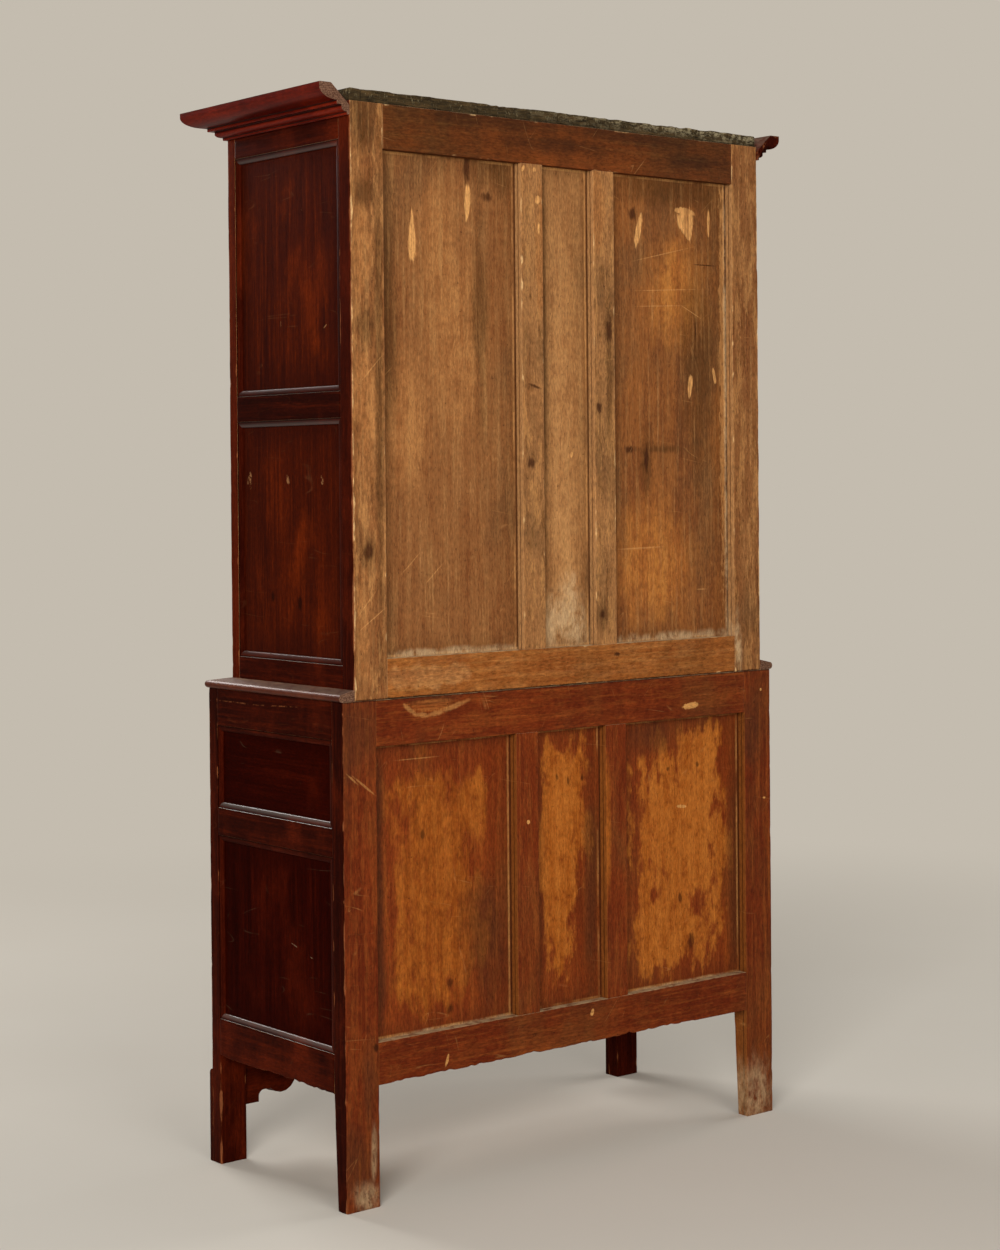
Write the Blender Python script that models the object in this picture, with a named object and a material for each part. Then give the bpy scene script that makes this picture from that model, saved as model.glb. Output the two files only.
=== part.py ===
"""Bread and cheese cupboard: a shallow upper cupboard on a deeper base that stands on its leg posts.

Metres, +Z up. The front faces -Y, and the right end is at +X, as seen by someone who stands in front.
The origin is on the floor, in the middle of the space that the cupboard takes up.
"""

import itertools
import math

import bmesh
import bpy
from mathutils import Matrix, Vector

# Fits
GAP = 0.0003
DOOR_CLEARANCE = 0.0015
MEETING_GAP = 0.003
HINGE_GAP = 0.0022
DRAWER_CLEARANCE = 0.0015
DRAWER_BACK_ROOM = 0.008

# Carcases
BASE_WIDTH = 1.062
BASE_DEPTH = 0.438
BASE_HEIGHT = 0.900
UPPER_HEIGHT = 1.058
UPPER_END_STEP = 0.026
UPPER_FRONT_STEP = 0.042
TOP_BOARD_THICKNESS = 0.022

# Corner posts: width across the front or back, depth along the end
FRONT_POST_WIDTH = 0.057
BACK_POST_WIDTH = 0.072
BASE_FRONT_POST_DEPTH = 0.040
UPPER_FRONT_POST_DEPTH = 0.036
BACK_POST_DEPTH = 0.047
BACK_LEG_TOE_DEPTH = 0.034
LEG_HEIGHT = 0.205

# End rails, from the floor up, with the moulded edges counted in
END_RAIL_THICKNESS = 0.026
BASE_BOTTOM_RAIL = 0.082
BASE_MIDDLE_RAIL = 0.073
DRAWER_OPENING = 0.134
BASE_TOP_RAIL = 0.080
UPPER_BOTTOM_RAIL = 0.072
UPPER_MIDDLE_RAIL = 0.069
UPPER_MIDDLE_RAIL_TOP = 0.559
UPPER_TOP_RAIL = 0.075

# Backs
BACK_THICKNESS = 0.032
BACK_PANEL_RECESS = 0.018
MUNTIN_WIDTH = 0.052
UPPER_MIDDLE_BAY = 0.127
UPPER_BACK_TOP_RAIL = 0.080
UPPER_BACK_BOTTOM_RAIL = 0.072
BASE_MIDDLE_BAY = 0.170
BASE_BACK_TOP_RAIL = 0.083
BASE_BACK_BOTTOM_RAIL = 0.076
BASE_BACK_RAIL_RISE = 0.011

# Panels and the moulding round them
PANEL_THICKNESS = 0.008
PANEL_TONGUE = 0.009
PANEL_RECESS = 0.0065
MOULDING_WIDTH = 0.011
MOULDING_DEPTH = 0.0048
MOULDING_FILLET = 0.0010
MOULDING_STEPS = 4
FIELD_MARGIN = 0.036
FIELD_RISE = 0.0040
FIELD_STEP = 0.0012

# Front rails, boards and bearers
FRONT_RAIL_THICKNESS = 0.026
DRAWER_RAIL = 0.046
DRAWER_DIVIDER = 0.040
BOARD_THICKNESS = 0.018
SHELF_COUNT = 2
BEARER_WIDTH = 0.020
BEARER_HEIGHT = 0.022
BEARER_BITE = 0.002
GUIDE_HEIGHT = 0.022

# Doors, hinges and knobs
DOOR_THICKNESS = 0.024
DOOR_STOP_GAP = 0.0006
UPPER_DOOR_STILE = 0.068
UPPER_DOOR_TOP_RAIL = 0.070
UPPER_DOOR_LOCK_RAIL = 0.080
UPPER_DOOR_BOTTOM_RAIL = 0.085
LOWER_DOOR_STILE = 0.066
LOWER_DOOR_TOP_RAIL = 0.062
LOWER_DOOR_BOTTOM_RAIL = 0.070
HINGE_AXIS_OUT = 0.0045
HINGE_BARREL_RADIUS = 0.004
HINGE_LEAF_THICKNESS = 0.0016
HINGE_LEAF_REACH = 0.019
HINGE_LENGTH = 0.058
HINGE_SIDES = 14
UPPER_HINGE_INSET = 0.110
LOWER_HINGE_INSET = 0.045
KNOB_REACH = 0.034
KNOB_RADIUS = 0.019
KNOB_NECK_RADIUS = 0.0085
KNOB_FOOT_RADIUS = 0.0125
KNOB_FOOT_HEIGHT = 0.0034
KNOB_NECK_FROM = 0.0075
KNOB_NECK_TO = 0.0143
KNOB_HEAD_FROM = -55.0
KNOB_HEAD_TO = 80.0
KNOB_HEAD_STEPS = 7
KNOB_SIDES = 20

# Drawers
DRAWER_FRONT_THICKNESS = 0.020
DRAWER_SIDE_THICKNESS = 0.011
DRAWER_BOTTOM_THICKNESS = 0.009
DRAWER_SIDE_DROP = 0.012

# Cornice: a sprung cove over stepped fillets
CORNICE_DROP = 0.026
CORNICE_HEIGHT = 0.053
CORNICE_PROJECTION = 0.064
CORNICE_SEAT = 0.017
CORNICE_TOP_WIDTH = 0.025
CORNICE_TIP = 0.008
CORNICE_COVE_START = 0.027
CORNICE_COVE_FOOT = 0.0235
CORNICE_FILLET = 0.0050
CORNICE_OVOLO_START = 0.006
CORNICE_OVOLO_WIDTH = 0.011
CORNICE_OVOLO_HEIGHT = 0.007
CORNICE_COVE_STEPS = 7
CORNICE_OVOLO_STEPS = 4

# Waist moulding
WAIST_HEIGHT = 0.020
WAIST_NOSE_RADIUS = 0.0070
WAIST_END_OVERHANG = 0.008
WAIST_FRONT_OVERHANG = 0.002
WAIST_NOSE_TURN = 170.0
WAIST_NOSE_STEPS = 6

# Bracket feet: facing on the front leg, with a shaped spandrel
BRACKET_THICKNESS = 0.009
BRACKET_TOP = 0.176
BRACKET_DROP = 0.100
BRACKET_SPUR = 0.033
BRACKET_STEP = 0.010
BRACKET_COVE_RADIUS = 0.012
BRACKET_LAND = 0.0155
BRACKET_LOBE_RADIUS = 0.033
BRACKET_LOBE_FROM = -40.0
BRACKET_LOBE_TO = -153.0
BRACKET_END_COVE_RADIUS = 0.037
BRACKET_BLOCK = 0.022
BRACKET_BLOCK_BITE = 0.003
BRACKET_BLOCK_RELIEF = 0.002
BRACKET_STEPS = 5
BRACKET_ROUND_STEPS = 3

# Widths, levels and faces that follow from the sizes above
UPPER_WIDTH = BASE_WIDTH - 2 * UPPER_END_STEP
UPPER_DEPTH = BASE_DEPTH - UPPER_FRONT_STEP
BACK_Y = (BASE_DEPTH + KNOB_REACH) / 2
BASE_FRONT_Y = BACK_Y - BASE_DEPTH
UPPER_FRONT_Y = BACK_Y - UPPER_DEPTH
UPPER_FOOT = BASE_HEIGHT + GAP
UPPER_TOP = UPPER_FOOT + UPPER_HEIGHT
BASE_RAIL_TOP = LEG_HEIGHT + BASE_BOTTOM_RAIL
UPPER_RAIL_TOP = UPPER_FOOT + UPPER_BOTTOM_RAIL
FRIEZE_FOOT = UPPER_TOP - UPPER_TOP_RAIL
DRAWER_TOP = BASE_HEIGHT - BASE_TOP_RAIL
BASE_MIDDLE_RAIL_TOP = DRAWER_TOP - DRAWER_OPENING
DRAWER_RAIL_FOOT = BASE_MIDDLE_RAIL_TOP - DRAWER_RAIL
ENDS = {"left": -1, "right": 1}
SHARP_ANGLE = 35.0

# Colour, roughness and metallic value of each finish
FINISHES = {
    "polished": ((0.060, 0.011, 0.007), 0.30, 0.0),
    "cornice": ((0.110, 0.014, 0.009), 0.32, 0.0),
    "upper_back": ((0.270, 0.130, 0.050), 0.75, 0.0),
    "base_back": ((0.230, 0.075, 0.022), 0.65, 0.0),
    "inside": ((0.360, 0.200, 0.090), 0.70, 0.0),
    "dusty_top": ((0.090, 0.075, 0.060), 0.90, 0.0),
    "brass": ((0.480, 0.330, 0.120), 0.40, 1.0),
}


def finish(name, kind):
    """A material for one piece."""
    colour, roughness, metallic = FINISHES[kind]
    material = bpy.data.materials.new(name)
    material.use_nodes = True
    shader = material.node_tree.nodes["Principled BSDF"]
    shader.inputs["Base Color"].default_value = (*colour, 1.0)
    shader.inputs["Roughness"].default_value = roughness
    shader.inputs["Metallic"].default_value = metallic
    return material


def add(name, verts, faces, kind, pivot=(0.0, 0.0, 0.0), smooth=False):
    """Make one object from world points, with its origin at pivot."""
    mesh = bpy.data.meshes.new(name)
    mesh.from_pydata([tuple(v) for v in verts], [], faces)
    work = bmesh.new()
    work.from_mesh(mesh)
    bmesh.ops.recalc_face_normals(work, faces=work.faces)
    work.to_mesh(mesh)
    work.free()
    mesh.transform(Matrix.Translation(-Vector(pivot)))
    if smooth:
        mesh.shade_smooth()
        mesh.set_sharp_from_angle(angle=math.radians(SHARP_ANGLE))
    mesh.materials.append(finish(name, kind))
    piece = bpy.data.objects.new(name, mesh)
    piece.location = pivot
    bpy.context.scene.collection.objects.link(piece)
    return piece


def loft(name, loops, kind, **options):
    """A solid through loops of equal length, with both ends filled."""
    count = len(loops[0])
    verts = [p for loop in loops for p in loop]
    faces = [list(range(count)), list(range(len(verts) - count, len(verts)))]
    for k in range(len(loops) - 1):
        for i in range(count):
            j = (i + 1) % count
            faces.append([k * count + i, k * count + j, (k + 1) * count + j, (k + 1) * count + i])
    return add(name, verts, faces, kind, **options)


def box_points(low, high):
    """Eight corners and six faces of a box."""
    verts = list(itertools.product(*zip(low, high)))
    faces = [[0, 1, 3, 2], [4, 6, 7, 5], [0, 4, 5, 1], [2, 3, 7, 6], [0, 2, 6, 4], [1, 5, 7, 3]]
    return verts, faces


def box(name, low, high, kind, **options):
    """A plain board between two corners."""
    return add(name, *box_points(low, high), kind, **options)


def boolean(piece, boxes, operation):
    """Cut boxes out of a piece, or join them to it. Each box is a pair of world corners."""
    verts = []
    faces = []
    for low, high in boxes:
        corners, sides = box_points(low, high)
        faces += [[i + len(verts) for i in side] for side in sides]
        verts += corners
    tool = add(f"{piece.name}_{operation.lower()}", verts, faces, "inside", pivot=piece.location)
    tool.parent = piece
    tool.location = (0.0, 0.0, 0.0)
    tool.hide_render = True
    tool.display_type = "WIRE"
    step = piece.modifiers.new(operation.title(), "BOOLEAN")
    step.operation = operation
    step.solver = "EXACT"
    step.object = tool


def grown(corners, margin):
    """A box grown by a margin on every side."""
    low, high = corners
    return [c - margin for c in low], [c + margin for c in high]


def spanned(place, low, high):
    """World corners of a box given in the lattice's own directions."""
    a = place(*low)
    b = place(*high)
    return [min(p) for p in zip(a, b)], [max(p) for p in zip(a, b)]


def ovolo_edge(rim):
    """Section of the moulding worked on a frame's inner edge, as (set back, depth) from face to back."""
    section = [(MOULDING_WIDTH, 0.0)]
    for step in range(MOULDING_STEPS + 1):
        turn = math.radians(90.0 * step / MOULDING_STEPS)
        back = MOULDING_WIDTH * (1.0 - math.sin(turn))
        depth = MOULDING_FILLET + (MOULDING_DEPTH - MOULDING_FILLET) * (1.0 - math.cos(turn))
        section.append((back, depth))
    section.append((0.0, rim))
    return section


def relief(us, vs, depths, section=None, slip=None):
    """Points and faces of joined members drawn on a lattice.

    depths gives each cell's thickness by row and column, and 0 is open. An open cell with timber on all
    four sides gets the moulded section round its edge. slip moves a lattice point along u.
    """
    rows = len(vs) - 1
    columns = len(us) - 1
    levels = sorted({0.0, *itertools.chain.from_iterable(depths)})
    slip = slip or {}
    index = {}
    faces = []

    def thickness(row, column):
        inside = 0 <= row < rows and 0 <= column < columns
        return depths[row][column] if inside else 0.0

    def point(u, v, w):
        return index.setdefault((round(u, 7), round(v, 7), round(w, 7)), len(index))

    def around(row, column):
        cells = ((row - 1, column), (row + 1, column), (row, column - 1), (row, column + 1))
        return [thickness(*cell) for cell in cells]

    rims = {}
    set_back = {}
    for row, column in itertools.product(range(rows), range(columns)):
        if section and thickness(row, column) == 0.0 and min(around(row, column)) > 0.0:
            rims[row, column] = min(around(row, column))
            for up, along in itertools.product((0, 1), (0, 1)):
                shift = ((2 * along - 1) * MOULDING_WIDTH, (2 * up - 1) * MOULDING_WIDTH)
                set_back[row + up, column + along] = shift

    def corner(row, column, w):
        du, dv = set_back.get((row, column), (0.0, 0.0)) if w == 0.0 else (0.0, 0.0)
        return point(us[column] + slip.get((row, column), 0.0) + du, vs[row] + dv, w)

    def wall(ends, cells):
        """Faces of a step between two neighbouring cells, split at every level."""
        low, high = sorted(thickness(*cell) for cell in cells)
        low = max([low] + [rims[cell] for cell in cells if cell in rims])
        for lower, upper in zip(levels, levels[1:]):
            if lower >= low and upper <= high:
                (a, b) = ends
                faces.append([corner(*a, lower), corner(*b, lower), corner(*b, upper), corner(*a, upper)])

    for row, column in itertools.product(range(rows), range(columns)):
        depth = thickness(row, column)
        ring = ((row, column), (row, column + 1), (row + 1, column + 1), (row + 1, column))
        for w in ((0.0, depth) if depth else ()):
            faces.append([corner(*c, w) for c in ring])
    for row, column in itertools.product(range(rows), range(columns + 1)):
        wall(((row, column), (row + 1, column)), ((row, column - 1), (row, column)))
    for row, column in itertools.product(range(rows + 1), range(columns)):
        wall(((row, column), (row, column + 1)), ((row - 1, column), (row, column)))
    for (row, column), rim in rims.items():
        u0, u1, v0, v1 = us[column], us[column + 1], vs[row], vs[row + 1]
        loops = []
        for out, w in section(rim):
            loops.append([point(u0 - out, v0 - out, w), point(u1 + out, v0 - out, w),
                          point(u1 + out, v1 + out, w), point(u0 - out, v1 + out, w)])
        for first, second in zip(loops, loops[1:]):
            for i in range(4):
                j = (i + 1) % 4
                faces.append([first[i], first[j], second[j], second[i]])
    return list(index), faces


def framework(name, lattice, place, kind, pivot=(0.0, 0.0, 0.0)):
    """A framed piece from a lattice, put in its place."""
    points, faces = relief(**lattice)
    return add(name, [place(*p) for p in points], faces, kind, pivot=pivot)


def flat_panel(name, place, opening, recess, kind):
    """A thin panel whose edges sit in grooves. Returns the groove's box."""
    (u0, v0), (u1, v1) = opening
    corners = spanned(
        place,
        (u0 - PANEL_TONGUE, v0 - PANEL_TONGUE, recess),
        (u1 + PANEL_TONGUE, v1 + PANEL_TONGUE, recess + PANEL_THICKNESS),
    )
    box(name, *corners, kind)
    return grown(corners, GAP)


def fielded_panel(name, place, opening, pivot):
    """A raised and fielded door panel. Returns the groove's box."""
    (u0, v0), (u1, v1) = opening
    back = PANEL_RECESS + PANEL_THICKNESS
    slope_top = PANEL_RECESS - FIELD_RISE + FIELD_STEP
    loops = []
    for inset, w in ((-PANEL_TONGUE, back), (-PANEL_TONGUE, PANEL_RECESS), (GAP, PANEL_RECESS),
                     (FIELD_MARGIN, slope_top), (FIELD_MARGIN, PANEL_RECESS - FIELD_RISE)):
        a, b, c, d = u0 + inset, u1 - inset, v0 + inset, v1 - inset
        loops.append([place(a, c, w), place(b, c, w), place(b, d, w), place(a, d, w)])
    loft(name, loops, "polished", pivot=pivot)
    edge = PANEL_TONGUE
    return grown(spanned(place, (u0 - edge, v0 - edge, PANEL_RECESS), (u1 + edge, v1 + edge, back)), GAP)


def end_place(side, width):
    """Lattice directions of an end: along the depth, up, and in from the outer face."""
    return lambda u, v, w: (side * (width / 2 - w), u, v)


def back_place(u, v, w):
    """Lattice directions of a back: across, up, and in from the back face."""
    return (u, BACK_Y - w, v)


def front_place(front):
    """Lattice directions of a front: across, up, and in from the front face."""
    return lambda u, v, w: (u, front + w, v)


def board_place(level):
    """Lattice directions of a board that lies flat: across, back, and up from its underside."""
    return lambda u, v, w: (u, v, level + w)


def mirrored(place, side):
    """The same directions with across counted from the middle towards one end."""
    return lambda u, v, w: place(side * u, v, w)


def back_panel_openings(width, middle_bay, low, high):
    """Sight sizes of the three back panels."""
    post = width / 2 - BACK_POST_WIDTH
    inner = middle_bay / 2
    outer = inner + MUNTIN_WIDTH
    return {
        "left": ((-post, low), (-outer, high)),
        "middle": ((-inner, low), (inner, high)),
        "right": ((outer, low), (post, high)),
    }


def back(prefix, kind, width, middle_bay, low, high, bottom_rail, top_rail):
    """Back frame of two rails and two muntins, with its three panels. Returns the grooves' boxes."""
    post = width / 2 - BACK_POST_WIDTH - GAP
    inner = middle_bay / 2
    outer = inner + MUNTIN_WIDTH
    full = [BACK_THICKNESS] * 5
    open_row = [0.0, BACK_THICKNESS, 0.0, BACK_THICKNESS, 0.0]
    lattice = {
        "us": [-post, -outer, -inner, inner, outer, post],
        "vs": [low, low + bottom_rail, high - top_rail, high],
        "depths": [full, open_row, full],
    }
    frame = framework(f"{prefix}_back_frame", lattice, back_place, kind)
    grooves = {}
    openings = back_panel_openings(width, middle_bay, low + bottom_rail, high - top_rail)
    for spot, opening in openings.items():
        name = f"{prefix}_back_panel_{spot}"
        grooves[spot] = flat_panel(name, back_place, opening, BACK_PANEL_RECESS, kind)
    boolean(frame, grooves.values(), "DIFFERENCE")
    return grooves


def end(prefix, spot, width, front, front_depth, levels, bearer_tops, back_groove):
    """One end: two posts and three rails joined, two panels, and bearers for the boards inside.

    levels runs from the foot to the top. An odd count of cells starts on a rail, an even one on the legs.
    """
    place = end_place(ENDS[spot], width)
    post_line = front + front_depth
    back_line = BACK_Y - BACK_POST_DEPTH
    cells = len(levels) - 1
    rail_row = [FRONT_POST_WIDTH, END_RAIL_THICKNESS, BACK_POST_WIDTH]
    open_row = [FRONT_POST_WIDTH, 0.0, BACK_POST_WIDTH]
    rails = [(cells - 1 - row) % 2 == 0 for row in range(cells)]
    on_legs = not rails[0]
    lattice = {
        "us": [front, post_line, back_line, BACK_Y],
        "vs": levels,
        "depths": [rail_row if rail else open_row for rail in rails],
        "section": ovolo_edge,
        "slip": {(0, 2): BACK_POST_DEPTH - BACK_LEG_TOE_DEPTH} if on_legs else None,
    }
    frame = framework(f"{prefix}_{spot}_end_frame", lattice, place, "polished")
    grooves = [back_groove]
    panel_rows = [row for row in range(1, cells) if not rails[row]]
    for label, row in zip(("lower", "upper"), panel_rows):
        opening = ((post_line, levels[row]), (back_line, levels[row + 1]))
        name = f"{prefix}_{spot}_end_panel_{label}"
        grooves.append(flat_panel(name, place, opening, PANEL_RECESS, "polished"))
    boolean(frame, grooves, "DIFFERENCE")
    bearers = []
    for top in bearer_tops:
        low = (post_line - BEARER_BITE, top - BEARER_HEIGHT, END_RAIL_THICKNESS - BEARER_BITE)
        high = (back_line + BEARER_BITE, top, END_RAIL_THICKNESS + BEARER_WIDTH)
        bearers.append(spanned(place, low, high))
    boolean(frame, bearers, "UNION")


def board_lattice(width, front_edge, front, front_depth):
    """Lattice of a board that is notched round the four posts."""
    end_line = width / 2 - END_RAIL_THICKNESS - GAP
    front_line = width / 2 - FRONT_POST_WIDTH - GAP
    back_line = width / 2 - BACK_POST_WIDTH - GAP
    t = BOARD_THICKNESS
    return {
        "us": [-end_line, -front_line, -back_line, back_line, front_line, end_line],
        "vs": [
            front_edge,
            front + front_depth + GAP,
            BACK_Y - BACK_POST_DEPTH - GAP,
            BACK_Y - BACK_THICKNESS - GAP,
        ],
        "depths": [[0.0, t, t, t, 0.0], [t] * 5, [0.0, 0.0, t, 0.0, 0.0]],
    }


def shelf_tops():
    """Levels of the upper shelves, which share the space over the floor evenly."""
    room = (UPPER_TOP - UPPER_RAIL_TOP) / (SHELF_COUNT + 1)
    return [UPPER_RAIL_TOP + room * (i + 1) for i in range(SHELF_COUNT)]


def upper_carcase():
    """Back, ends, front rails, floor, shelves and top board of the upper cupboard."""
    grooves = back("upper", "upper_back", UPPER_WIDTH, UPPER_MIDDLE_BAY, UPPER_FOOT, UPPER_TOP,
                   UPPER_BACK_BOTTOM_RAIL, UPPER_BACK_TOP_RAIL)
    middle_top = UPPER_FOOT + UPPER_MIDDLE_RAIL_TOP
    middle_foot = middle_top - UPPER_MIDDLE_RAIL
    levels = [UPPER_FOOT, UPPER_RAIL_TOP, middle_foot, middle_top, FRIEZE_FOOT, UPPER_TOP]
    tops = [UPPER_RAIL_TOP, *shelf_tops()]
    bearer_tops = [top - BOARD_THICKNESS - GAP for top in tops]
    for spot in ENDS:
        end("upper", spot, UPPER_WIDTH, UPPER_FRONT_Y, UPPER_FRONT_POST_DEPTH, levels, bearer_tops,
            grooves[spot])
    half = UPPER_WIDTH / 2 - FRONT_POST_WIDTH - GAP
    rail_back = UPPER_FRONT_Y + FRONT_RAIL_THICKNESS
    for name, low, high in (("frieze_rail", FRIEZE_FOOT, UPPER_TOP),
                            ("upper_bottom_rail", UPPER_FOOT, UPPER_RAIL_TOP)):
        box(name, (-half, UPPER_FRONT_Y, low), (half, rail_back, high), "polished")
    door_back = UPPER_FRONT_Y + DOOR_THICKNESS + DOOR_STOP_GAP
    fronts = [rail_back + GAP] + [door_back] * SHELF_COUNT
    names = ["upper_floor"] + [f"upper_shelf_{i + 1}" for i in range(SHELF_COUNT)]
    for name, top, front_edge in zip(names, tops, fronts):
        lattice = board_lattice(UPPER_WIDTH, front_edge, UPPER_FRONT_Y, UPPER_FRONT_POST_DEPTH)
        framework(name, lattice, board_place(top - BOARD_THICKNESS), "inside")
    low = UPPER_TOP + GAP
    box("top_board", (-UPPER_WIDTH / 2, UPPER_FRONT_Y, low),
        (UPPER_WIDTH / 2, BACK_Y, low + TOP_BOARD_THICKNESS), "dusty_top")


def base_carcase():
    """Back, ends, front rails, drawer bed and floor of the base."""
    grooves = back("base", "base_back", BASE_WIDTH, BASE_MIDDLE_BAY, LEG_HEIGHT + BASE_BACK_RAIL_RISE, BASE_HEIGHT,
                   BASE_BACK_BOTTOM_RAIL, BASE_BACK_TOP_RAIL)
    middle_foot = BASE_MIDDLE_RAIL_TOP - BASE_MIDDLE_RAIL
    levels = [0.0, LEG_HEIGHT, BASE_RAIL_TOP, middle_foot, BASE_MIDDLE_RAIL_TOP, DRAWER_TOP, BASE_HEIGHT]
    bearer_tops = [top - BOARD_THICKNESS - GAP for top in (BASE_RAIL_TOP, BASE_MIDDLE_RAIL_TOP)]
    for spot in ENDS:
        end("base", spot, BASE_WIDTH, BASE_FRONT_Y, BASE_FRONT_POST_DEPTH, levels, bearer_tops,
            grooves[spot])
    half = BASE_WIDTH / 2 - FRONT_POST_WIDTH - GAP
    t = FRONT_RAIL_THICKNESS
    lattice = {
        "us": [-half, -DRAWER_DIVIDER / 2, DRAWER_DIVIDER / 2, half],
        "vs": [DRAWER_RAIL_FOOT, BASE_MIDDLE_RAIL_TOP, DRAWER_TOP, BASE_HEIGHT],
        "depths": [[t] * 3, [0.0, t, 0.0], [t] * 3],
    }
    framework("base_front_frame", lattice, front_place(BASE_FRONT_Y), "polished")
    rail_back = BASE_FRONT_Y + FRONT_RAIL_THICKNESS
    rail = ((-half, BASE_FRONT_Y, LEG_HEIGHT), (half, rail_back, BASE_RAIL_TOP))
    box("base_bottom_rail", *rail, "polished")
    lattice = board_lattice(BASE_WIDTH, rail_back + GAP, BASE_FRONT_Y, BASE_FRONT_POST_DEPTH)
    framework("base_floor", lattice, board_place(BASE_RAIL_TOP - BOARD_THICKNESS), "inside")
    drawer_bed(lattice)


def drawer_bed(board):
    """The board that the drawers run on, with a guide beside each end and one between the drawers."""
    line = DRAWER_DIVIDER / 2
    us = board["us"][:3] + [-line, line] + board["us"][3:]
    flat = BOARD_THICKNESS
    tall = BOARD_THICKNESS + GUIDE_HEIGHT
    lattice = {
        "us": us,
        "vs": board["vs"],
        "depths": [
            [0.0, flat, flat, tall, flat, flat, 0.0],
            [tall, flat, flat, tall, flat, flat, tall],
            [0.0, 0.0, flat, tall, flat, 0.0, 0.0],
        ],
    }
    framework("drawer_bed", lattice, board_place(BASE_MIDDLE_RAIL_TOP - BOARD_THICKNESS), "inside")


def knob(name, x, front, z, pivot):
    """A turned mushroom knob that stands on a front face."""
    profile = [(KNOB_FOOT_RADIUS, GAP), (KNOB_FOOT_RADIUS, KNOB_FOOT_HEIGHT)]
    profile += [(KNOB_NECK_RADIUS, KNOB_NECK_FROM), (KNOB_NECK_RADIUS, KNOB_NECK_TO)]
    first = math.radians(KNOB_HEAD_FROM)
    last = math.radians(KNOB_HEAD_TO)
    head_foot = KNOB_NECK_TO + GAP
    for step in range(KNOB_HEAD_STEPS + 1):
        turn = first + (last - first) * step / KNOB_HEAD_STEPS
        rise = (math.sin(turn) - math.sin(first)) / (math.sin(last) - math.sin(first))
        profile.append((KNOB_RADIUS * math.cos(turn), head_foot + (KNOB_REACH - head_foot) * rise))
    loops = []
    for radius, out in profile:
        turns = [2 * math.pi * i / KNOB_SIDES for i in range(KNOB_SIDES)]
        loops.append([(x + radius * math.cos(t), front - out, z + radius * math.sin(t)) for t in turns])
    loft(name, loops, "polished", pivot=pivot, smooth=True)


def hinge(name, side, axis, middle):
    """A butt hinge: the barrel, and the leaf that is let in between post and door."""
    x, y = axis
    half = HINGE_LEAF_THICKNESS / 2
    start = math.asin(half / HINGE_BARREL_RADIUS)
    outline = []
    for i in range(HINGE_SIDES + 1):
        turn = math.pi / 2 + start + (2 * math.pi - 2 * start) * i / HINGE_SIDES
        outline.append((HINGE_BARREL_RADIUS * math.cos(turn), HINGE_BARREL_RADIUS * math.sin(turn)))
    reach = HINGE_AXIS_OUT + HINGE_LEAF_REACH
    outline += [(half, reach), (-half, reach)]
    loops = []
    for z in (middle - HINGE_LENGTH / 2, middle + HINGE_LENGTH / 2):
        loops.append([(x + side * u, y + v, z) for u, v in outline])
    loft(name, loops, "brass", smooth=True)


def door(prefix, spot, half_opening, front, low, high, stile, rails, hinge_inset, knob_level):
    """A framed door with fielded panels, hung on two hinges.

    rails holds the (foot, top) of each rail from the bottom up.
    """
    side = ENDS[spot]
    name = f"{prefix}_{spot}_door"
    axis = (side * (half_opening - HINGE_GAP / 2), front - HINGE_AXIS_OUT)
    pivot = (*axis, (low + high) / 2)
    place = mirrored(front_place(front), side)
    inner = MEETING_GAP / 2
    outer = half_opening - HINGE_GAP
    levels = [level for pair in rails for level in pair]
    t = DOOR_THICKNESS
    lattice = {
        "us": [inner, inner + stile, outer - stile, outer],
        "vs": levels,
        "depths": [[t, t if row % 2 == 0 else 0.0, t] for row in range(len(levels) - 1)],
        "section": ovolo_edge,
    }
    frame = framework(f"{name}_frame", lattice, place, "polished", pivot=pivot)
    labels = ("panel",) if len(rails) == 2 else ("panel_lower", "panel_upper")
    grooves = []
    for label, (below, above) in zip(labels, zip(rails, rails[1:])):
        opening = ((inner + stile, below[1]), (outer - stile, above[0]))
        grooves.append(fielded_panel(f"{name}_{label}", place, opening, pivot))
    boolean(frame, grooves, "DIFFERENCE")
    for label, middle in (("bottom", low + hinge_inset), ("top", high - hinge_inset)):
        hinge(f"{name}_hinge_{label}", side, axis, middle)
    if spot == "right":
        knob(f"{prefix}_door_knob", side * (inner + stile / 2), front, knob_level, pivot)


def doors():
    """A pair of tall doors above and a pair of short ones below."""
    low = UPPER_RAIL_TOP + DOOR_CLEARANCE
    high = FRIEZE_FOOT - DOOR_CLEARANCE
    lock = UPPER_FOOT + UPPER_MIDDLE_RAIL_TOP - UPPER_MIDDLE_RAIL / 2
    rails = [
        (low, low + UPPER_DOOR_BOTTOM_RAIL),
        (lock - UPPER_DOOR_LOCK_RAIL / 2, lock + UPPER_DOOR_LOCK_RAIL / 2),
        (high - UPPER_DOOR_TOP_RAIL, high),
    ]
    half_opening = UPPER_WIDTH / 2 - FRONT_POST_WIDTH
    for spot in ENDS:
        door("upper", spot, half_opening, UPPER_FRONT_Y, low, high, UPPER_DOOR_STILE, rails,
             UPPER_HINGE_INSET, lock)
    low = BASE_RAIL_TOP + DOOR_CLEARANCE
    high = DRAWER_RAIL_FOOT - DOOR_CLEARANCE
    rails = [(low, low + LOWER_DOOR_BOTTOM_RAIL), (high - LOWER_DOOR_TOP_RAIL, high)]
    half_opening = BASE_WIDTH / 2 - FRONT_POST_WIDTH
    for spot in ENDS:
        door("lower", spot, half_opening, BASE_FRONT_Y, low, high, LOWER_DOOR_STILE, rails,
             LOWER_HINGE_INSET, (low + high) / 2)


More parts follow.
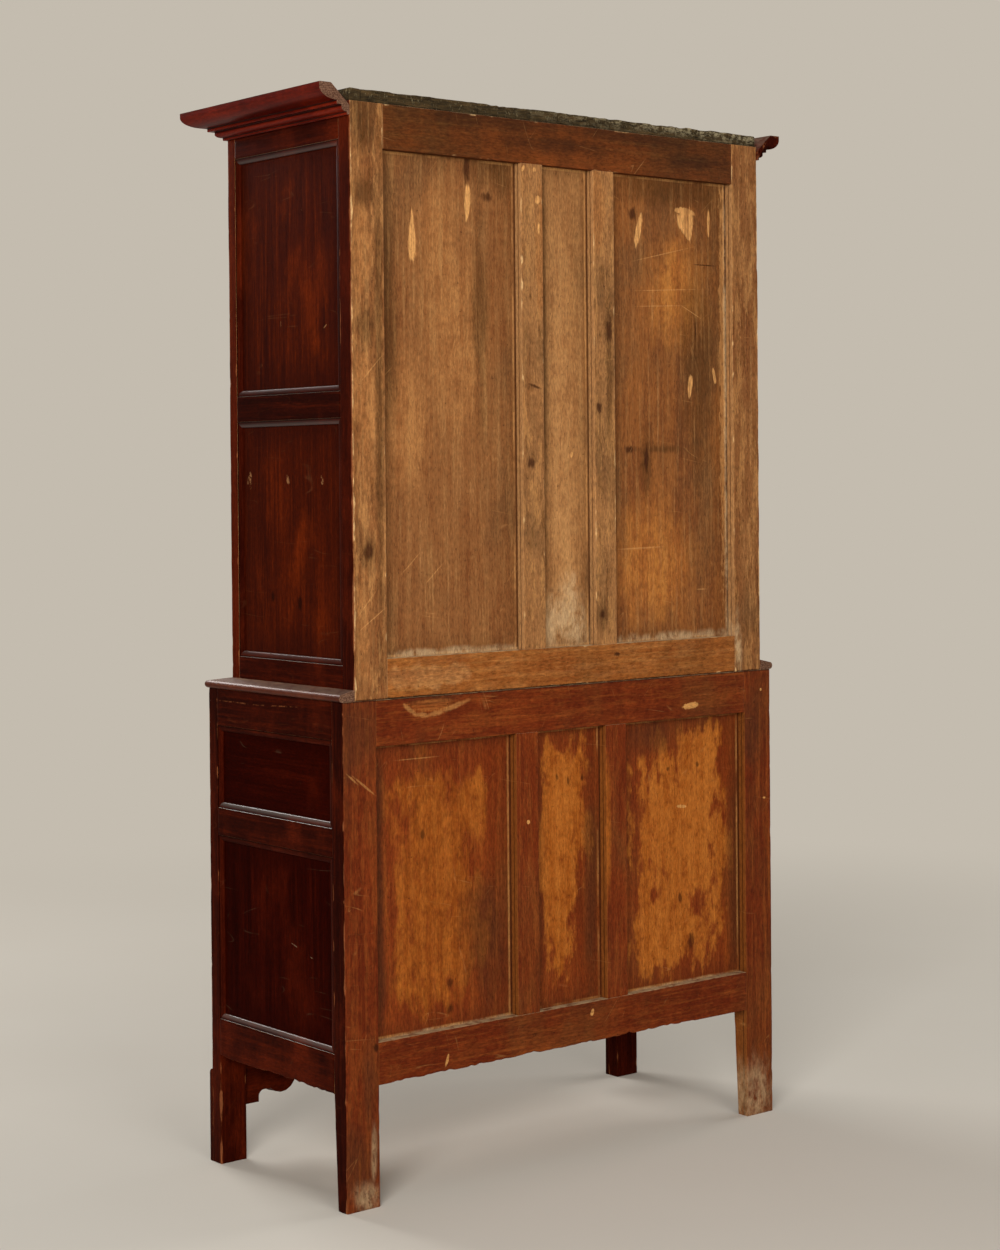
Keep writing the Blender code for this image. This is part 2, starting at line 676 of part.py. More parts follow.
def drawers():
    """Two drawers side by side, each with a knob in the middle of its front."""
    foot = BASE_MIDDLE_RAIL_TOP + GAP
    front_height = DRAWER_TOP - DRAWER_CLEARANCE - foot
    side_height = front_height - DRAWER_SIDE_DROP
    rear = BACK_Y - BACK_POST_DEPTH - DRAWER_BACK_ROOM
    inner = DRAWER_DIVIDER / 2 + DRAWER_CLEARANCE
    outer = BASE_WIDTH / 2 - FRONT_POST_WIDTH - DRAWER_CLEARANCE
    thin = DRAWER_SIDE_THICKNESS
    inside_row = [side_height, DRAWER_BOTTOM_THICKNESS, side_height]
    for spot, side in ENDS.items():
        lattice = {
            "us": [inner, inner + thin, outer - thin, outer],
            "vs": [BASE_FRONT_Y, BASE_FRONT_Y + DRAWER_FRONT_THICKNESS, rear - thin, rear],
            "depths": [[front_height] * 3, inside_row, [side_height] * 3],
        }
        middle = side * (inner + outer) / 2
        pivot = (middle, BASE_FRONT_Y, foot)
        place = mirrored(board_place(foot), side)
        framework(f"{spot}_drawer", lattice, place, "polished", pivot=pivot)
        knob(f"{spot}_drawer_knob", middle, BASE_FRONT_Y, foot + front_height / 2, pivot)


def cornice_section():
    """Section of the cornice as (projection, height) from the foot of its seat, round the outside."""
    cove_end = CORNICE_PROJECTION - GAP
    cove_top = CORNICE_HEIGHT - CORNICE_TIP
    ovolo_end = CORNICE_OVOLO_START + CORNICE_OVOLO_WIDTH
    ovolo_top = CORNICE_FILLET + CORNICE_OVOLO_HEIGHT
    section = [(0.0, 0.0), (CORNICE_OVOLO_START, 0.0)]
    for step in range(CORNICE_OVOLO_STEPS + 1):
        turn = math.radians(90.0 * step / CORNICE_OVOLO_STEPS)
        section.append((CORNICE_OVOLO_START + CORNICE_OVOLO_WIDTH * math.sin(turn),
                        ovolo_top - CORNICE_OVOLO_HEIGHT * math.cos(turn)))
    soffit = ovolo_top + CORNICE_FILLET
    section += [(ovolo_end, soffit), (CORNICE_COVE_START, soffit)]
    for step in range(CORNICE_COVE_STEPS + 1):
        turn = math.radians(90.0 * step / CORNICE_COVE_STEPS)
        section.append((CORNICE_COVE_START + (cove_end - CORNICE_COVE_START) * math.sin(turn),
                        cove_top - (cove_top - CORNICE_COVE_FOOT) * math.cos(turn)))
    inner_top = CORNICE_PROJECTION - CORNICE_TOP_WIDTH
    section += [(CORNICE_PROJECTION, cove_top + GAP), (CORNICE_PROJECTION, CORNICE_HEIGHT),
                (inner_top, CORNICE_HEIGHT), (0.0, CORNICE_SEAT)]
    return section


def cornice():
    """Three lengths, mitred at the front corners and cut square at the back."""
    section = cornice_section()
    wall = UPPER_WIDTH / 2 + GAP
    front = UPPER_FRONT_Y - GAP
    foot = UPPER_TOP - CORNICE_DROP
    for spot, side in ENDS.items():
        rear = [(side * (wall + p), BACK_Y, foot + h) for p, h in section]
        mitre = [(side * (wall + p), front - p + GAP, foot + h) for p, h in section]
        loft(f"cornice_{spot}", [rear, mitre], "cornice", smooth=True)
    ends = []
    for side in ENDS.values():
        ends.append([(side * (wall + p - GAP), front - p, foot + h) for p, h in section])
    loft("cornice_front", ends, "cornice", smooth=True)


def waist_moulding():
    """A rounded strip on the base's top edge, round the foot of the upper carcase, in one mitred band."""
    wall = UPPER_WIDTH / 2 + GAP
    front = UPPER_FRONT_Y - GAP
    end_width = BASE_WIDTH / 2 + WAIST_END_OVERHANG - wall
    front_width = front - (BASE_FRONT_Y - WAIST_FRONT_OVERHANG)
    foot = BASE_HEIGHT + GAP
    r = WAIST_NOSE_RADIUS

    def section(width):
        points = [(0.0, 0.0)]
        for step in range(WAIST_NOSE_STEPS + 1):
            turn = math.radians(-90.0 + WAIST_NOSE_TURN * step / WAIST_NOSE_STEPS)
            points.append((width - r + r * math.cos(turn), r + r * math.sin(turn)))
        return points + [(0.0, WAIST_HEIGHT)]

    across = section(end_width)
    along = section(front_width)
    loops = []
    for side, at_back in ((1, True), (1, False), (-1, False), (-1, True)):
        loop = []
        for (p, h), (q, _) in zip(across, along):
            loop.append((side * (wall + p), BACK_Y if at_back else front - q, foot + h))
        loops.append(loop)
    loft("waist_moulding", loops, "polished", smooth=True)


def arc(start, radius, turn_from, turn_to):
    """Points of an arc that begins at start, without start itself. Turns are in degrees."""
    first = math.radians(turn_from)
    x = start[0] - radius * math.cos(first)
    z = start[1] - radius * math.sin(first)
    points = []
    for step in range(1, BRACKET_STEPS + 1):
        turn = math.radians(turn_from + (turn_to - turn_from) * step / BRACKET_STEPS)
        points.append((x + radius * math.cos(turn), z + radius * math.sin(turn)))
    return points


def spandrel_edge(leg):
    """Lower edge of the spandrel as (distance in from the leg's outer face, height)."""
    x = -leg
    edge = [(x, BRACKET_DROP), (x - BRACKET_SPUR, BRACKET_DROP)]
    edge.append((x - BRACKET_SPUR, BRACKET_DROP + BRACKET_STEP))
    edge += arc(edge[-1], BRACKET_COVE_RADIUS, 0.0, 90.0)
    edge.append((edge[-1][0] - BRACKET_LAND, edge[-1][1]))
    edge += arc(edge[-1], BRACKET_LOBE_RADIUS, BRACKET_LOBE_FROM, BRACKET_LOBE_TO)
    edge += arc(edge[-1], BRACKET_END_COVE_RADIUS, 0.0, 90.0)
    return [(-a, z) for a, z in edge]


def bracket_feet():
    """A facing on each front leg with a rounded top, and a block behind the spandrel under the rail."""
    face = BASE_FRONT_Y - BRACKET_THICKNESS
    rear = BASE_FRONT_Y - GAP
    radius = rear - face
    edge = spandrel_edge(FRONT_POST_WIDTH)
    end_x = edge[-1][0]
    for spot, side in ENDS.items():
        outer = BASE_WIDTH / 2

        def at(points, y):
            return [(side * (outer - a), y, z) for a, z in points]

        loops = []
        for step in range(BRACKET_ROUND_STEPS + 1):
            turn = math.radians(90.0 * step / BRACKET_ROUND_STEPS)
            top = BRACKET_TOP - radius + radius * math.cos(turn)
            outline = [(FRONT_POST_WIDTH, 0.0), (0.0, 0.0), (0.0, top), (end_x, top), *reversed(edge)]
            loops.append(at(outline, face + radius - radius * math.sin(turn)))
        foot = loft(f"bracket_foot_{spot}", loops, "polished", smooth=True)
        inner = FRONT_POST_WIDTH + GAP
        lifted = [(max(a, inner), z + BRACKET_BLOCK_RELIEF) for a, z in edge[:-BRACKET_STEPS]]
        sunk_top = BRACKET_TOP - radius - BRACKET_BLOCK_RELIEF
        block = []
        for y, top in ((rear - BRACKET_BLOCK_BITE, sunk_top), (BASE_FRONT_Y + GAP, LEG_HEIGHT - GAP),
                       (BASE_FRONT_Y + BRACKET_BLOCK, LEG_HEIGHT - GAP)):
            block.append(at([(inner, top), (lifted[-1][0], top), *reversed(lifted)], y))
        tool = loft(f"bracket_block_{spot}", block, "polished")
        tool.hide_render = True
        tool.display_type = "WIRE"
        step = foot.modifiers.new("Union", "BOOLEAN")
        step.operation = "UNION"
        step.solver = "EXACT"
        step.object = tool


def main():
    """Build the whole cupboard."""
    for piece in list(bpy.data.objects):
        bpy.data.objects.remove(piece, do_unlink=True)
    base_carcase()
    upper_carcase()
    waist_moulding()
    cornice()
    bracket_feet()
    drawers()
    doors()


main()
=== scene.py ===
# %% [markdown]
# # An old bread and cheese cupboard, seen from behind
# The cupboard is joined work: posts and rails hold thin panels, and every timber has its own grain. This
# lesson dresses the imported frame. Each piece is worked out as an array of points with numpy, and each
# finish is a set of shader nodes, so nothing is painted by hand and nothing is read from an image.

# %% Load the frame
import math
import zlib
from types import SimpleNamespace

import bmesh
import bpy
import numpy as np
from mathutils import Matrix, Vector


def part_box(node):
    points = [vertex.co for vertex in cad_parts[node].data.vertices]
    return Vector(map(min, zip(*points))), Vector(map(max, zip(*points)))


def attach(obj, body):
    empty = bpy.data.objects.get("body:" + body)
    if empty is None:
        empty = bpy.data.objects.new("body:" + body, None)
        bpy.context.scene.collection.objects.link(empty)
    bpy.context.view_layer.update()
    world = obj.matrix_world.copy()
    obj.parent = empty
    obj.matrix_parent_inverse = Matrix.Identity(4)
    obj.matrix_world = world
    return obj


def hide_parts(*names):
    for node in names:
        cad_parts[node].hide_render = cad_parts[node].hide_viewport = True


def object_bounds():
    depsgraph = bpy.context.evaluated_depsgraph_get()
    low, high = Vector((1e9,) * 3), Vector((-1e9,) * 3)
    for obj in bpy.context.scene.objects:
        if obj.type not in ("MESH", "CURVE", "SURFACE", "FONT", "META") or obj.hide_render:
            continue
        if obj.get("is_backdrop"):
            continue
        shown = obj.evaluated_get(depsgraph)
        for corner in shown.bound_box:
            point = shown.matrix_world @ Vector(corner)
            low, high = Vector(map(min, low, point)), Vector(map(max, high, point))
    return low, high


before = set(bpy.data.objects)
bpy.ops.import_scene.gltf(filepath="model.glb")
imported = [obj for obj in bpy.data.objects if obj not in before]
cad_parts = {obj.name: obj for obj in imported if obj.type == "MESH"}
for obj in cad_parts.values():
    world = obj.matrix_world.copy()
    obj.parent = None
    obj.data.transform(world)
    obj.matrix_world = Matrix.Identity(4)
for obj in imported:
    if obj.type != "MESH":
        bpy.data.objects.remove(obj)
CAD_BOX = [list(corner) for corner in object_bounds()]
X, Y, Z = 0, 1, 2
BACK_Y = CAD_BOX[1][Y]
print("frame:", len(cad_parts), "nodes, box", CAD_BOX)

# %% [markdown]
# ## Camera
# The photograph was taken from behind the right end, from about chest height, with the lens slid down so
# that the upright lines stay upright. Blender calls that slide a shift. The camera's three directions are
# worked out from its yaw, pitch and roll and become the columns of its matrix.

# %% Camera
IMAGE_WIDTH, IMAGE_HEIGHT = 1000, 1250
LONG_SIDE = max(IMAGE_WIDTH, IMAGE_HEIGHT)
SENSOR_WIDTH = 36.0
FOCAL_PIXELS = 2378.0
CENTRE_ROW = 503.2
CAMERA_PLACE = (2.9415, 3.6442, 1.2841)
CAMERA_YAW, CAMERA_PITCH, CAMERA_ROLL = np.radians([39.098, -0.5, -0.470])


def camera_axes(yaw, pitch, roll):
    """Right, up and backward of a camera that looks towards -Y, turned by yaw towards -X."""
    ahead = np.array([-np.sin(yaw) * np.cos(pitch), -np.cos(yaw) * np.cos(pitch), np.sin(pitch)])
    level = np.cross(ahead, (0, 0, 1))
    level /= np.linalg.norm(level)
    upright = np.cross(level, ahead)
    right = np.cos(roll) * level + np.sin(roll) * upright
    up = -np.sin(roll) * level + np.cos(roll) * upright
    return np.column_stack([right, up, -ahead])


def linked(name, data):
    """A new object in the scene."""
    made = bpy.data.objects.new(name, data)
    bpy.context.scene.collection.objects.link(made)
    return made


lens = bpy.data.cameras.new("camera")
lens.sensor_width = SENSOR_WIDTH
lens.lens = SENSOR_WIDTH * FOCAL_PIXELS / LONG_SIDE
lens.shift_y = -(IMAGE_HEIGHT / 2 - CENTRE_ROW) / LONG_SIDE
camera = linked("camera", lens)
turned = Matrix(camera_axes(CAMERA_YAW, CAMERA_PITCH, CAMERA_ROLL).tolist()).to_4x4()
camera.matrix_world = Matrix.Translation(CAMERA_PLACE) @ turned
bpy.context.scene.camera = camera
print("camera: lens", round(lens.lens, 2), "mm, shift", round(lens.shift_y, 4))

# %% [markdown]
# ## Wiring nodes
# A finish is a tree of shader nodes. Making each node takes several lines of Blender code, so a small
# helper adds a node, sets its plain values and links its sockets. Colours are written as the hex codes of a
# paint card and turned into the linear values that Blender mixes. A finish is then built up as a painter
# does it: one layer over another, each with a mask that says where it covers.

# %% Colours


def tone(code):
    """Linear colour of a hex code, as red, green, blue and alpha."""
    screen = np.array([int(code[i:i + 2], 16) for i in (1, 3, 5)]) / 255
    linear = np.where(screen <= 0.04045, screen / 12.92, ((screen + 0.055) / 1.055) ** 2.4)
    return (*linear.tolist(), 1.0)


print("colours: a mid grey is", round(tone("#808080")[0], 3))

# %% Wiring


class Wiring:
    """Adds nodes to one tree. A socket given as a value is linked, and anything else is set."""

    def __init__(self, tree):
        self.tree = tree

    def put(self, socket, value):
        if isinstance(value, bpy.types.NodeSocket):
            self.tree.links.new(value, socket)
        else:
            socket.default_value = value

    def dress(self, node, inputs):
        for key, value in inputs.items():
            self.put(node.inputs[key], value)

    def node(self, kind, inputs=None, **settings):
        made = self.tree.nodes.new(kind)
        for name, value in settings.items():
            setattr(made, name, value)
        self.dress(made, inputs or {})
        return made

    def math(self, operation, *values):
        return self.node("ShaderNodeMath", dict(enumerate(values)), operation=operation).outputs[0]

    def times(self, first, *others):
        """The product of any number of values."""
        for other in others:
            first = self.math("MULTIPLY", first, other)
        return first

    def reach(self, across, up):
        """Distance from the middle, for a point that lies so far across and so far up."""
        squares = [self.math("POWER", value, 2.0) for value in (across, up)]
        return self.math("SQRT", self.math("ADD", *squares))

    def vector(self, operation, *values):
        return self.node("ShaderNodeVectorMath", dict(enumerate(values)), operation=operation).outputs[0]

    def noise(self, place, waves, detail=2.0, roughness=0.5):
        """Noise from 0 to 1, with so many waves to the metre along each direction."""
        inputs = {"Vector": self.vector("MULTIPLY", place, waves), "Scale": 1.0, "Detail": detail,
                  "Roughness": roughness}
        return self.node("ShaderNodeTexNoise", inputs).outputs[0]

    def step(self, value, low, high):
        """0 at low, 1 at high, and a smooth slope between them."""
        inputs = {"Value": value, "From Min": low, "From Max": high}
        return self.node("ShaderNodeMapRange", inputs, interpolation_type="SMOOTHSTEP").outputs[0]

    def mix(self, factor, first, second):
        return self.node("ShaderNodeMix", {0: factor, 6: first, 7: second}, data_type="RGBA").outputs[2]

    def split(self, vector):
        return self.node("ShaderNodeSeparateXYZ", {0: vector}).outputs

    def group(self, tree, **inputs):
        labels = {label.replace("_", " "): value for label, value in inputs.items()}
        return self.node("ShaderNodeGroup", labels, node_tree=tree).outputs

    def bump(self, shader, height, strength, distance):
        """Gives a shader the relief of a height."""
        inputs = {"Height": height, "Strength": strength, "Distance": distance}
        self.put(shader.inputs["Normal"], self.node("ShaderNodeBump", inputs).outputs[0])


print("wiring: one helper for every node")

# %% Layers and groups


class Layers:
    """A colour built up in layers. A layer is named in colours, written as a hex code, or a socket."""

    def __init__(self, w, colours, ground):
        self.w = w
        self.colours = colours
        self.colour = self.shown(ground)

    def shown(self, colour):
        if isinstance(colour, bpy.types.NodeSocket):
            return colour
        return tone(self.colours.get(colour, colour))

    def lay(self, colour, *masks):
        """Covers what lies below by the product of the masks."""
        self.colour = self.w.mix(self.w.times(*masks), self.colour, self.shown(colour))


def new_group(name, inputs, outputs):
    """An empty group with named sockets. Returns its tree, its wiring, what comes in and what goes out."""
    tree = bpy.data.node_groups.new(name, "ShaderNodeTree")
    for label, kind in inputs.items():
        tree.interface.new_socket(label, in_out="INPUT", socket_type=f"NodeSocket{kind}")
    for label in outputs:
        tree.interface.new_socket(label, in_out="OUTPUT", socket_type="NodeSocketFloat")
    wiring = Wiring(tree)
    coming = wiring.node("NodeGroupInput").outputs
    going = wiring.node("NodeGroupOutput").inputs
    return tree, wiring, coming, going


print("layers and groups ready")

# %% [markdown]
# ## Wood figure
# Wood is solid all the way through, so its figure is worked out in three dimensions. Every board carries a
# `grain` attribute: metres along the grain, across the board and through it. The growth rings are circles
# round a heart that leans along the board, which gives arches on a wide face and lines on an edge. Three
# noises, each drawn out along the grain, make the fibres, the streaks and the grit of any old surface.

# %% Wood figure group
HEART_LEAN = 0.03
wood_figure, w, coming, going = new_group(
    "wood figure", {"Grain": "Vector", "Ring width": "Float", "Waver": "Float"},
    ("Rings", "Fibre", "Streak", "Grit"))
grain = coming["Grain"]
along, across, depth = w.split(grain)
warp = w.math("SUBTRACT", w.noise(grain, (1.6, 9.0, 9.0), 3.0), 0.5)
shift = w.times(warp, coming["Waver"])
lean = w.math("MULTIPLY_ADD", along, HEART_LEAN, w.math("ADD", depth, shift))
radius = w.reach(w.math("ADD", across, shift), lean)
turns = w.times(w.math("DIVIDE", radius, coming["Ring width"]), 2 * math.pi)
wave = w.math("MULTIPLY_ADD", w.math("SINE", turns), 0.5, 0.5)
w.put(going["Rings"], w.math("POWER", wave, 2.0))
w.put(going["Fibre"], w.noise(grain, (4.5, 115.0, 115.0), 5.0, 0.74))
w.put(going["Streak"], w.noise(grain, (1.6, 46.0, 46.0), 6.0, 0.66))
w.put(going["Grit"], w.noise(grain, (95.0, 300.0, 300.0), 3.0, 0.62))
print("group:", wood_figure.name)

# %% [markdown]
# ## Wear, dirt and dust
# Two centuries of handling show in a few ways that every finish shares. Arrises are rubbed pale, so the
# meshes carry an `arris` attribute that is 1 on a rounded edge. Dirt lies in clouds and specks, knocks
# leave fine scratches, and dust settles on whatever faces up. A placed mark is one chip, knot or patch with
# a ragged outline at a measured spot.

# %% Edge wear group
edge_wear, w, coming, going = new_group(
    "edge wear", {"Arris": "Float", "Grain": "Vector", "Amount": "Float"}, ("Mask",))
broken = w.noise(coming["Grain"], (26.0, 90.0, 90.0), 4.0, 0.65)
pushed = w.math("MULTIPLY_ADD", broken, 1.5, w.times(coming["Arris"], coming["Amount"]))
w.put(going["Mask"], w.times(w.step(pushed, 1.15, 1.5), w.step(coming["Arris"], 0.05, 0.5)))
print("group:", edge_wear.name)

# %% Old dirt group
SCRATCH_TURNS = {0.15: (2.5, 2.5, 26.0), -0.9: (3.5, 3.5, 30.0), 1.25: (3.0, 3.0, 34.0)}
old_dirt, w, coming, going = new_group(
    "old dirt", {"Place": "Vector"}, ("Clouds", "Smears", "Specks", "Scratches"))
place = coming["Place"]
w.put(going["Clouds"], w.noise(place, (6.0, 6.0, 3.2), 6.0, 0.62))
w.put(going["Smears"], w.noise(w.vector("ADD", place, (7.1, 3.3, 5.7)), (17.0, 17.0, 4.5), 5.0, 0.6))
w.put(going["Specks"], w.step(w.noise(place, (210.0, 210.0, 150.0), 3.0), 0.66, 0.74))
lines = 0.0
for turn, waves in SCRATCH_TURNS.items():
    inputs = {"Vector": place, "Angle": turn}
    turned = w.node("ShaderNodeVectorRotate", inputs, rotation_type="Y_AXIS").outputs[0]
    contour = w.math("ABSOLUTE", w.math("SUBTRACT", w.noise(turned, waves, 1.0), 0.5))
    moved = w.vector("ADD", turned, (turn, 0.0, turn))
    some = w.step(w.noise(moved, (9.0, 9.0, 22.0), 3.0, 0.6), 0.57, 0.68)
    lines = w.math("MAXIMUM", w.times(w.step(contour, 0.007, 0.001), some), lines)
w.put(going["Scratches"], lines)
print("group:", old_dirt.name)

# %% Dust group
settled_dust, w, coming, going = new_group(
    "settled dust", {"Normal": "Vector", "Place": "Vector"}, ("Mask",))
upward = w.step(w.split(coming["Normal"])[Z], 0.45, 0.9)
patchy = w.step(w.noise(coming["Place"], (55.0, 55.0, 55.0), 5.0, 0.65), 0.3, 0.55)
w.put(going["Mask"], w.times(upward, patchy))
print("group:", settled_dust.name)

# %% Placed mark group
NARROWEST = 0.05
MARK_SIZES = ("Half width", "Half height", "Lean", "Taper", "Ragged", "Soft")
placed_mark, w, coming, going = new_group(
    "placed mark", {"Place": "Vector", "Centre": "Vector", **dict.fromkeys(MARK_SIZES, "Float")}, ("Mask",))
inputs = {"Vector": coming["Place"], "Center": coming["Centre"], "Angle": coming["Lean"]}
turned = w.node("ShaderNodeVectorRotate", inputs, rotation_type="Y_AXIS").outputs[0]
offset = w.split(w.vector("SUBTRACT", turned, coming["Centre"]))
tall = w.math("DIVIDE", offset[Z], coming["Half height"])
room = w.math("MAXIMUM", w.math("MULTIPLY_ADD", tall, coming["Taper"], 1.0), NARROWEST)
wide = w.math("DIVIDE", w.math("DIVIDE", offset[X], coming["Half width"]), room)
reach = w.math("ADD", w.reach(wide, tall), coming["Ragged"])
outer = w.math("ADD", coming["Soft"], 1.0)
inner = w.math("SUBTRACT", 1.0, coming["Soft"])
w.put(going["Mask"], w.step(reach, outer, inner))
print("group:", placed_mark.name)

# %% [markdown]
# ## What a finish reads
# A finish needs to know where it is on the cupboard, how the grain runs, whether it is on an arris or at a
# panel's rim, how pale its board is and which way it faces. The meshes carry most of that as attributes, so
# one finish fits every board. A mark is (centre x, centre z, half width, half height) in millimetres, and
# where it needs them a lean in radians and a taper, which is how much wider it is at its top.

# %% Readings
LOOKS = {}


def new_material(name):
    """An empty material, listed among the looks. Returns its wiring and its shader."""
    material = bpy.data.materials.new(name)
    material.use_nodes = True
    LOOKS[name] = material
    return Wiring(material.node_tree), material.node_tree.nodes["Principled BSDF"]


def surface_readings(w):
    """Place in metres, grain, arris, rim, shade and direction, as a surface gives them."""

    def carried(label, output):
        return w.node("ShaderNodeAttribute", attribute_name=label).outputs[output]

    at = SimpleNamespace(grain=carried("grain", "Vector"), arris=carried("arris", "Fac"),
                         shade=carried("shade", "Fac"), rim=w.split(carried("rim", "Vector")))
    at.place = w.node("ShaderNodeTexCoord").outputs["Object"]
    at.spot = w.split(at.place)
    at.normal = w.node("ShaderNodeNewGeometry").outputs["Normal"]
    at.facing = w.split(at.normal)
    return at


def wood_readings(w, ring, waver):
    """The same, with the figure of the wood, its dirt and its dust."""
    at = surface_readings(w)
    figure = w.group(wood_figure, Grain=at.grain, Ring_width=ring, Waver=waver)
    dirt = w.group(old_dirt, Place=at.place)
    for label, socket in (*figure.items(), *dirt.items()):
        setattr(at, label.lower(), socket)
    at.powder = w.group(settled_dust, Normal=at.normal, Place=at.place)[0]
    at.nearest = w.math("MINIMUM", at.rim[X], at.rim[Y])
    return at


print("readings: place, grain, arris, rim, shade and direction")

# %% Marks
MILLIMETRES = 1000.0


def marks_mask(w, place, ragged, marks, soft=0.1):
    """One mask for a list of marks: the highest of them at each point."""
    mask = 0.0
    for mark in marks:
        x, z, wide, tall = (size / MILLIMETRES for size in mark[:4])
        lean, taper = (*mark[4:], 0.0, 0.0)[:2]
        spot = w.group(placed_mark, Place=place, Centre=(x, 0.0, z), Half_width=wide, Half_height=tall,
                       Lean=lean, Taper=taper, Ragged=ragged, Soft=soft)[0]
        mask = w.math("MAXIMUM", spot, mask)
    return mask


print("marks: one mask for a list of them")

# %% [markdown]
# ## Bare and stained pine
# The back was never meant to be seen. The upper half is raw pine that has gone tan and grey, and the base
# was brushed with a red-brown stain that has since worn off the middle of each panel. One function makes
# both, from its own colours and its own list of marks, and its layers come in four steps: the wood, its
# wear, its edges and its marks. The edges step also paints shade at a panel's rim, and light and shadow on
# the frame's walls that face sideways.

# %% Pine: ground and wear


def pine_ground(w, at, wood, flaked):
    """The wood itself: streaks, rings and clouds of dirt, and a skin that has come off in flakes."""
    level = w.math("MULTIPLY_ADD", at.smears, 0.45, at.shade)
    level = w.math("MULTIPLY_ADD", at.streak, 0.5, level)
    level = w.math("MULTIPLY_ADD", at.mottle, 0.5, level)
    wood.lay("plain", w.step(level, 0.50, 0.76))
    wood.lay("fair", w.step(level, 0.72, 1.02))
    wood.lay("deep", at.rings, 0.22)
    wood.lay("dirt", w.step(at.clouds, 0.48, 0.72), 0.75)
    wood.lay("grime", w.step(at.shade, -0.12, -0.5), w.step(at.clouds, 0.25, 0.6), 0.55)
    if flaked:
        crust = w.noise(w.vector("ADD", at.grain, (3.7, 1.9, 8.3)), (16.0, 60.0, 60.0), 10.0, 0.74)
        wood.lay("crust", w.step(crust, 0.54, 0.60), flaked)
        flakes = w.step(w.noise(at.grain, (9.0, 52.0, 52.0), 10.0, 0.7), 0.52, 0.56)
        wood.lay("flake", flakes, w.step(at.shade, -0.3, 0.05), flaked)


def pine_wear(w, at, wood, marked, patch):
    """What handling has done: worn patches, grime, and fibres that stand out pale or dark."""
    streaks = w.math("ADD", at.streak, at.mottle)
    rubbed = w.mix(w.step(streaks, 0.8, 1.2), wood.shown("worn_deep"), wood.shown("worn"))
    wood.lay(rubbed, marked("worn", w.times(at.coarse, patch[0]), patch[1]), w.step(at.mottle, 0.15, 0.5))
    wood.lay("grime", marked("grime", w.times(at.coarse, 2.4), 0.7), 0.65)
    wood.lay("fibre", w.step(at.fibre, 0.48, 0.72), w.step(at.shade, -0.6, 0.0), 0.45)
    wood.lay("deep", w.step(at.fibre, 0.48, 0.25), 0.4)


print("pine: two steps of layers")

# %% Pine: edges and marks
# A dark line is painted on the frame's side walls at this depth, as the shadow of a step in their edge.
STEP_SHADOW_DEPTH = 0.0095


def pine_edges(w, at, wood):
    """A pale line round a panel, painted shade at its rim, and painted light and shadow on side walls."""
    beside = w.times(w.step(at.rim[X], 0.0045, 0.0060), w.step(at.rim[X], 0.0105, 0.0080))
    beside = w.math("MAXIMUM", beside, w.step(at.rim[Y], 0.0060, 0.0035))
    some = w.step(w.noise(at.place, (12.0, 12.0, 7.0), 4.0, 0.6), 0.36, 0.62)
    wood.lay("chip", beside, some, 0.6)
    # Painted shade: a dark line on the panel beside the frame's upright edges.
    wood.lay("knot", w.step(at.rim[X], 0.0050, 0.0035), 0.75)
    # Painted shade: the panel darkens towards its rim, in the grime colour.
    wood.lay("grime", w.step(at.nearest, 0.05, 0.0), 0.25)
    sideways = w.step(w.math("ABSOLUTE", at.facing[X]), 0.6, 0.9)
    # Painted light: the walls that face sideways are painted paler.
    wood.lay("wall", sideways, 0.75)
    # Painted shadow: a dark line along those walls in place of the shadow of a step in their edge.
    inward = w.math("SUBTRACT", BACK_Y, at.spot[Y])
    off_shadow_line = w.math("ABSOLUTE", w.math("SUBTRACT", inward, STEP_SHADOW_DEPTH))
    wood.lay("knot", sideways, w.step(off_shadow_line, 0.0016, 0.0006), 0.7)


def pine_marks(w, at, wood, marked, knotty):
    """Chips, scars, knots, chalk and scratches at their places. Returns where they are cut in."""
    chips = marked("chips", w.times(at.fine, 0.6), 0.14)
    wood.lay("chip", chips, w.step(at.fibre, 0.2, 0.6))
    wood.lay("scar", marked("scars", at.fine, 0.3), w.step(at.streak, 0.32, 0.62), 0.85)
    wood.lay("knot", marked("knots", w.times(at.fine, 1.4), 0.5), knotty)
    wood.lay("dust", marked("chalk", w.times(at.coarse, 2.6), 0.7), w.step(at.mottle, 0.3, 0.6), 0.55)
    lines = w.math("MAXIMUM", w.times(at.scratches, 0.6), marked("lines", at.fine, 0.5))
    lines = w.math("MAXIMUM", lines, marked("flecks", w.times(at.fine, 3.0), 0.2))
    wood.lay("chip", lines, 0.36)
    wood.lay("knot", at.specks, 0.5)
    return w.math("MAXIMUM", chips, lines)


print("pine: two more steps")

# %% Pine finish


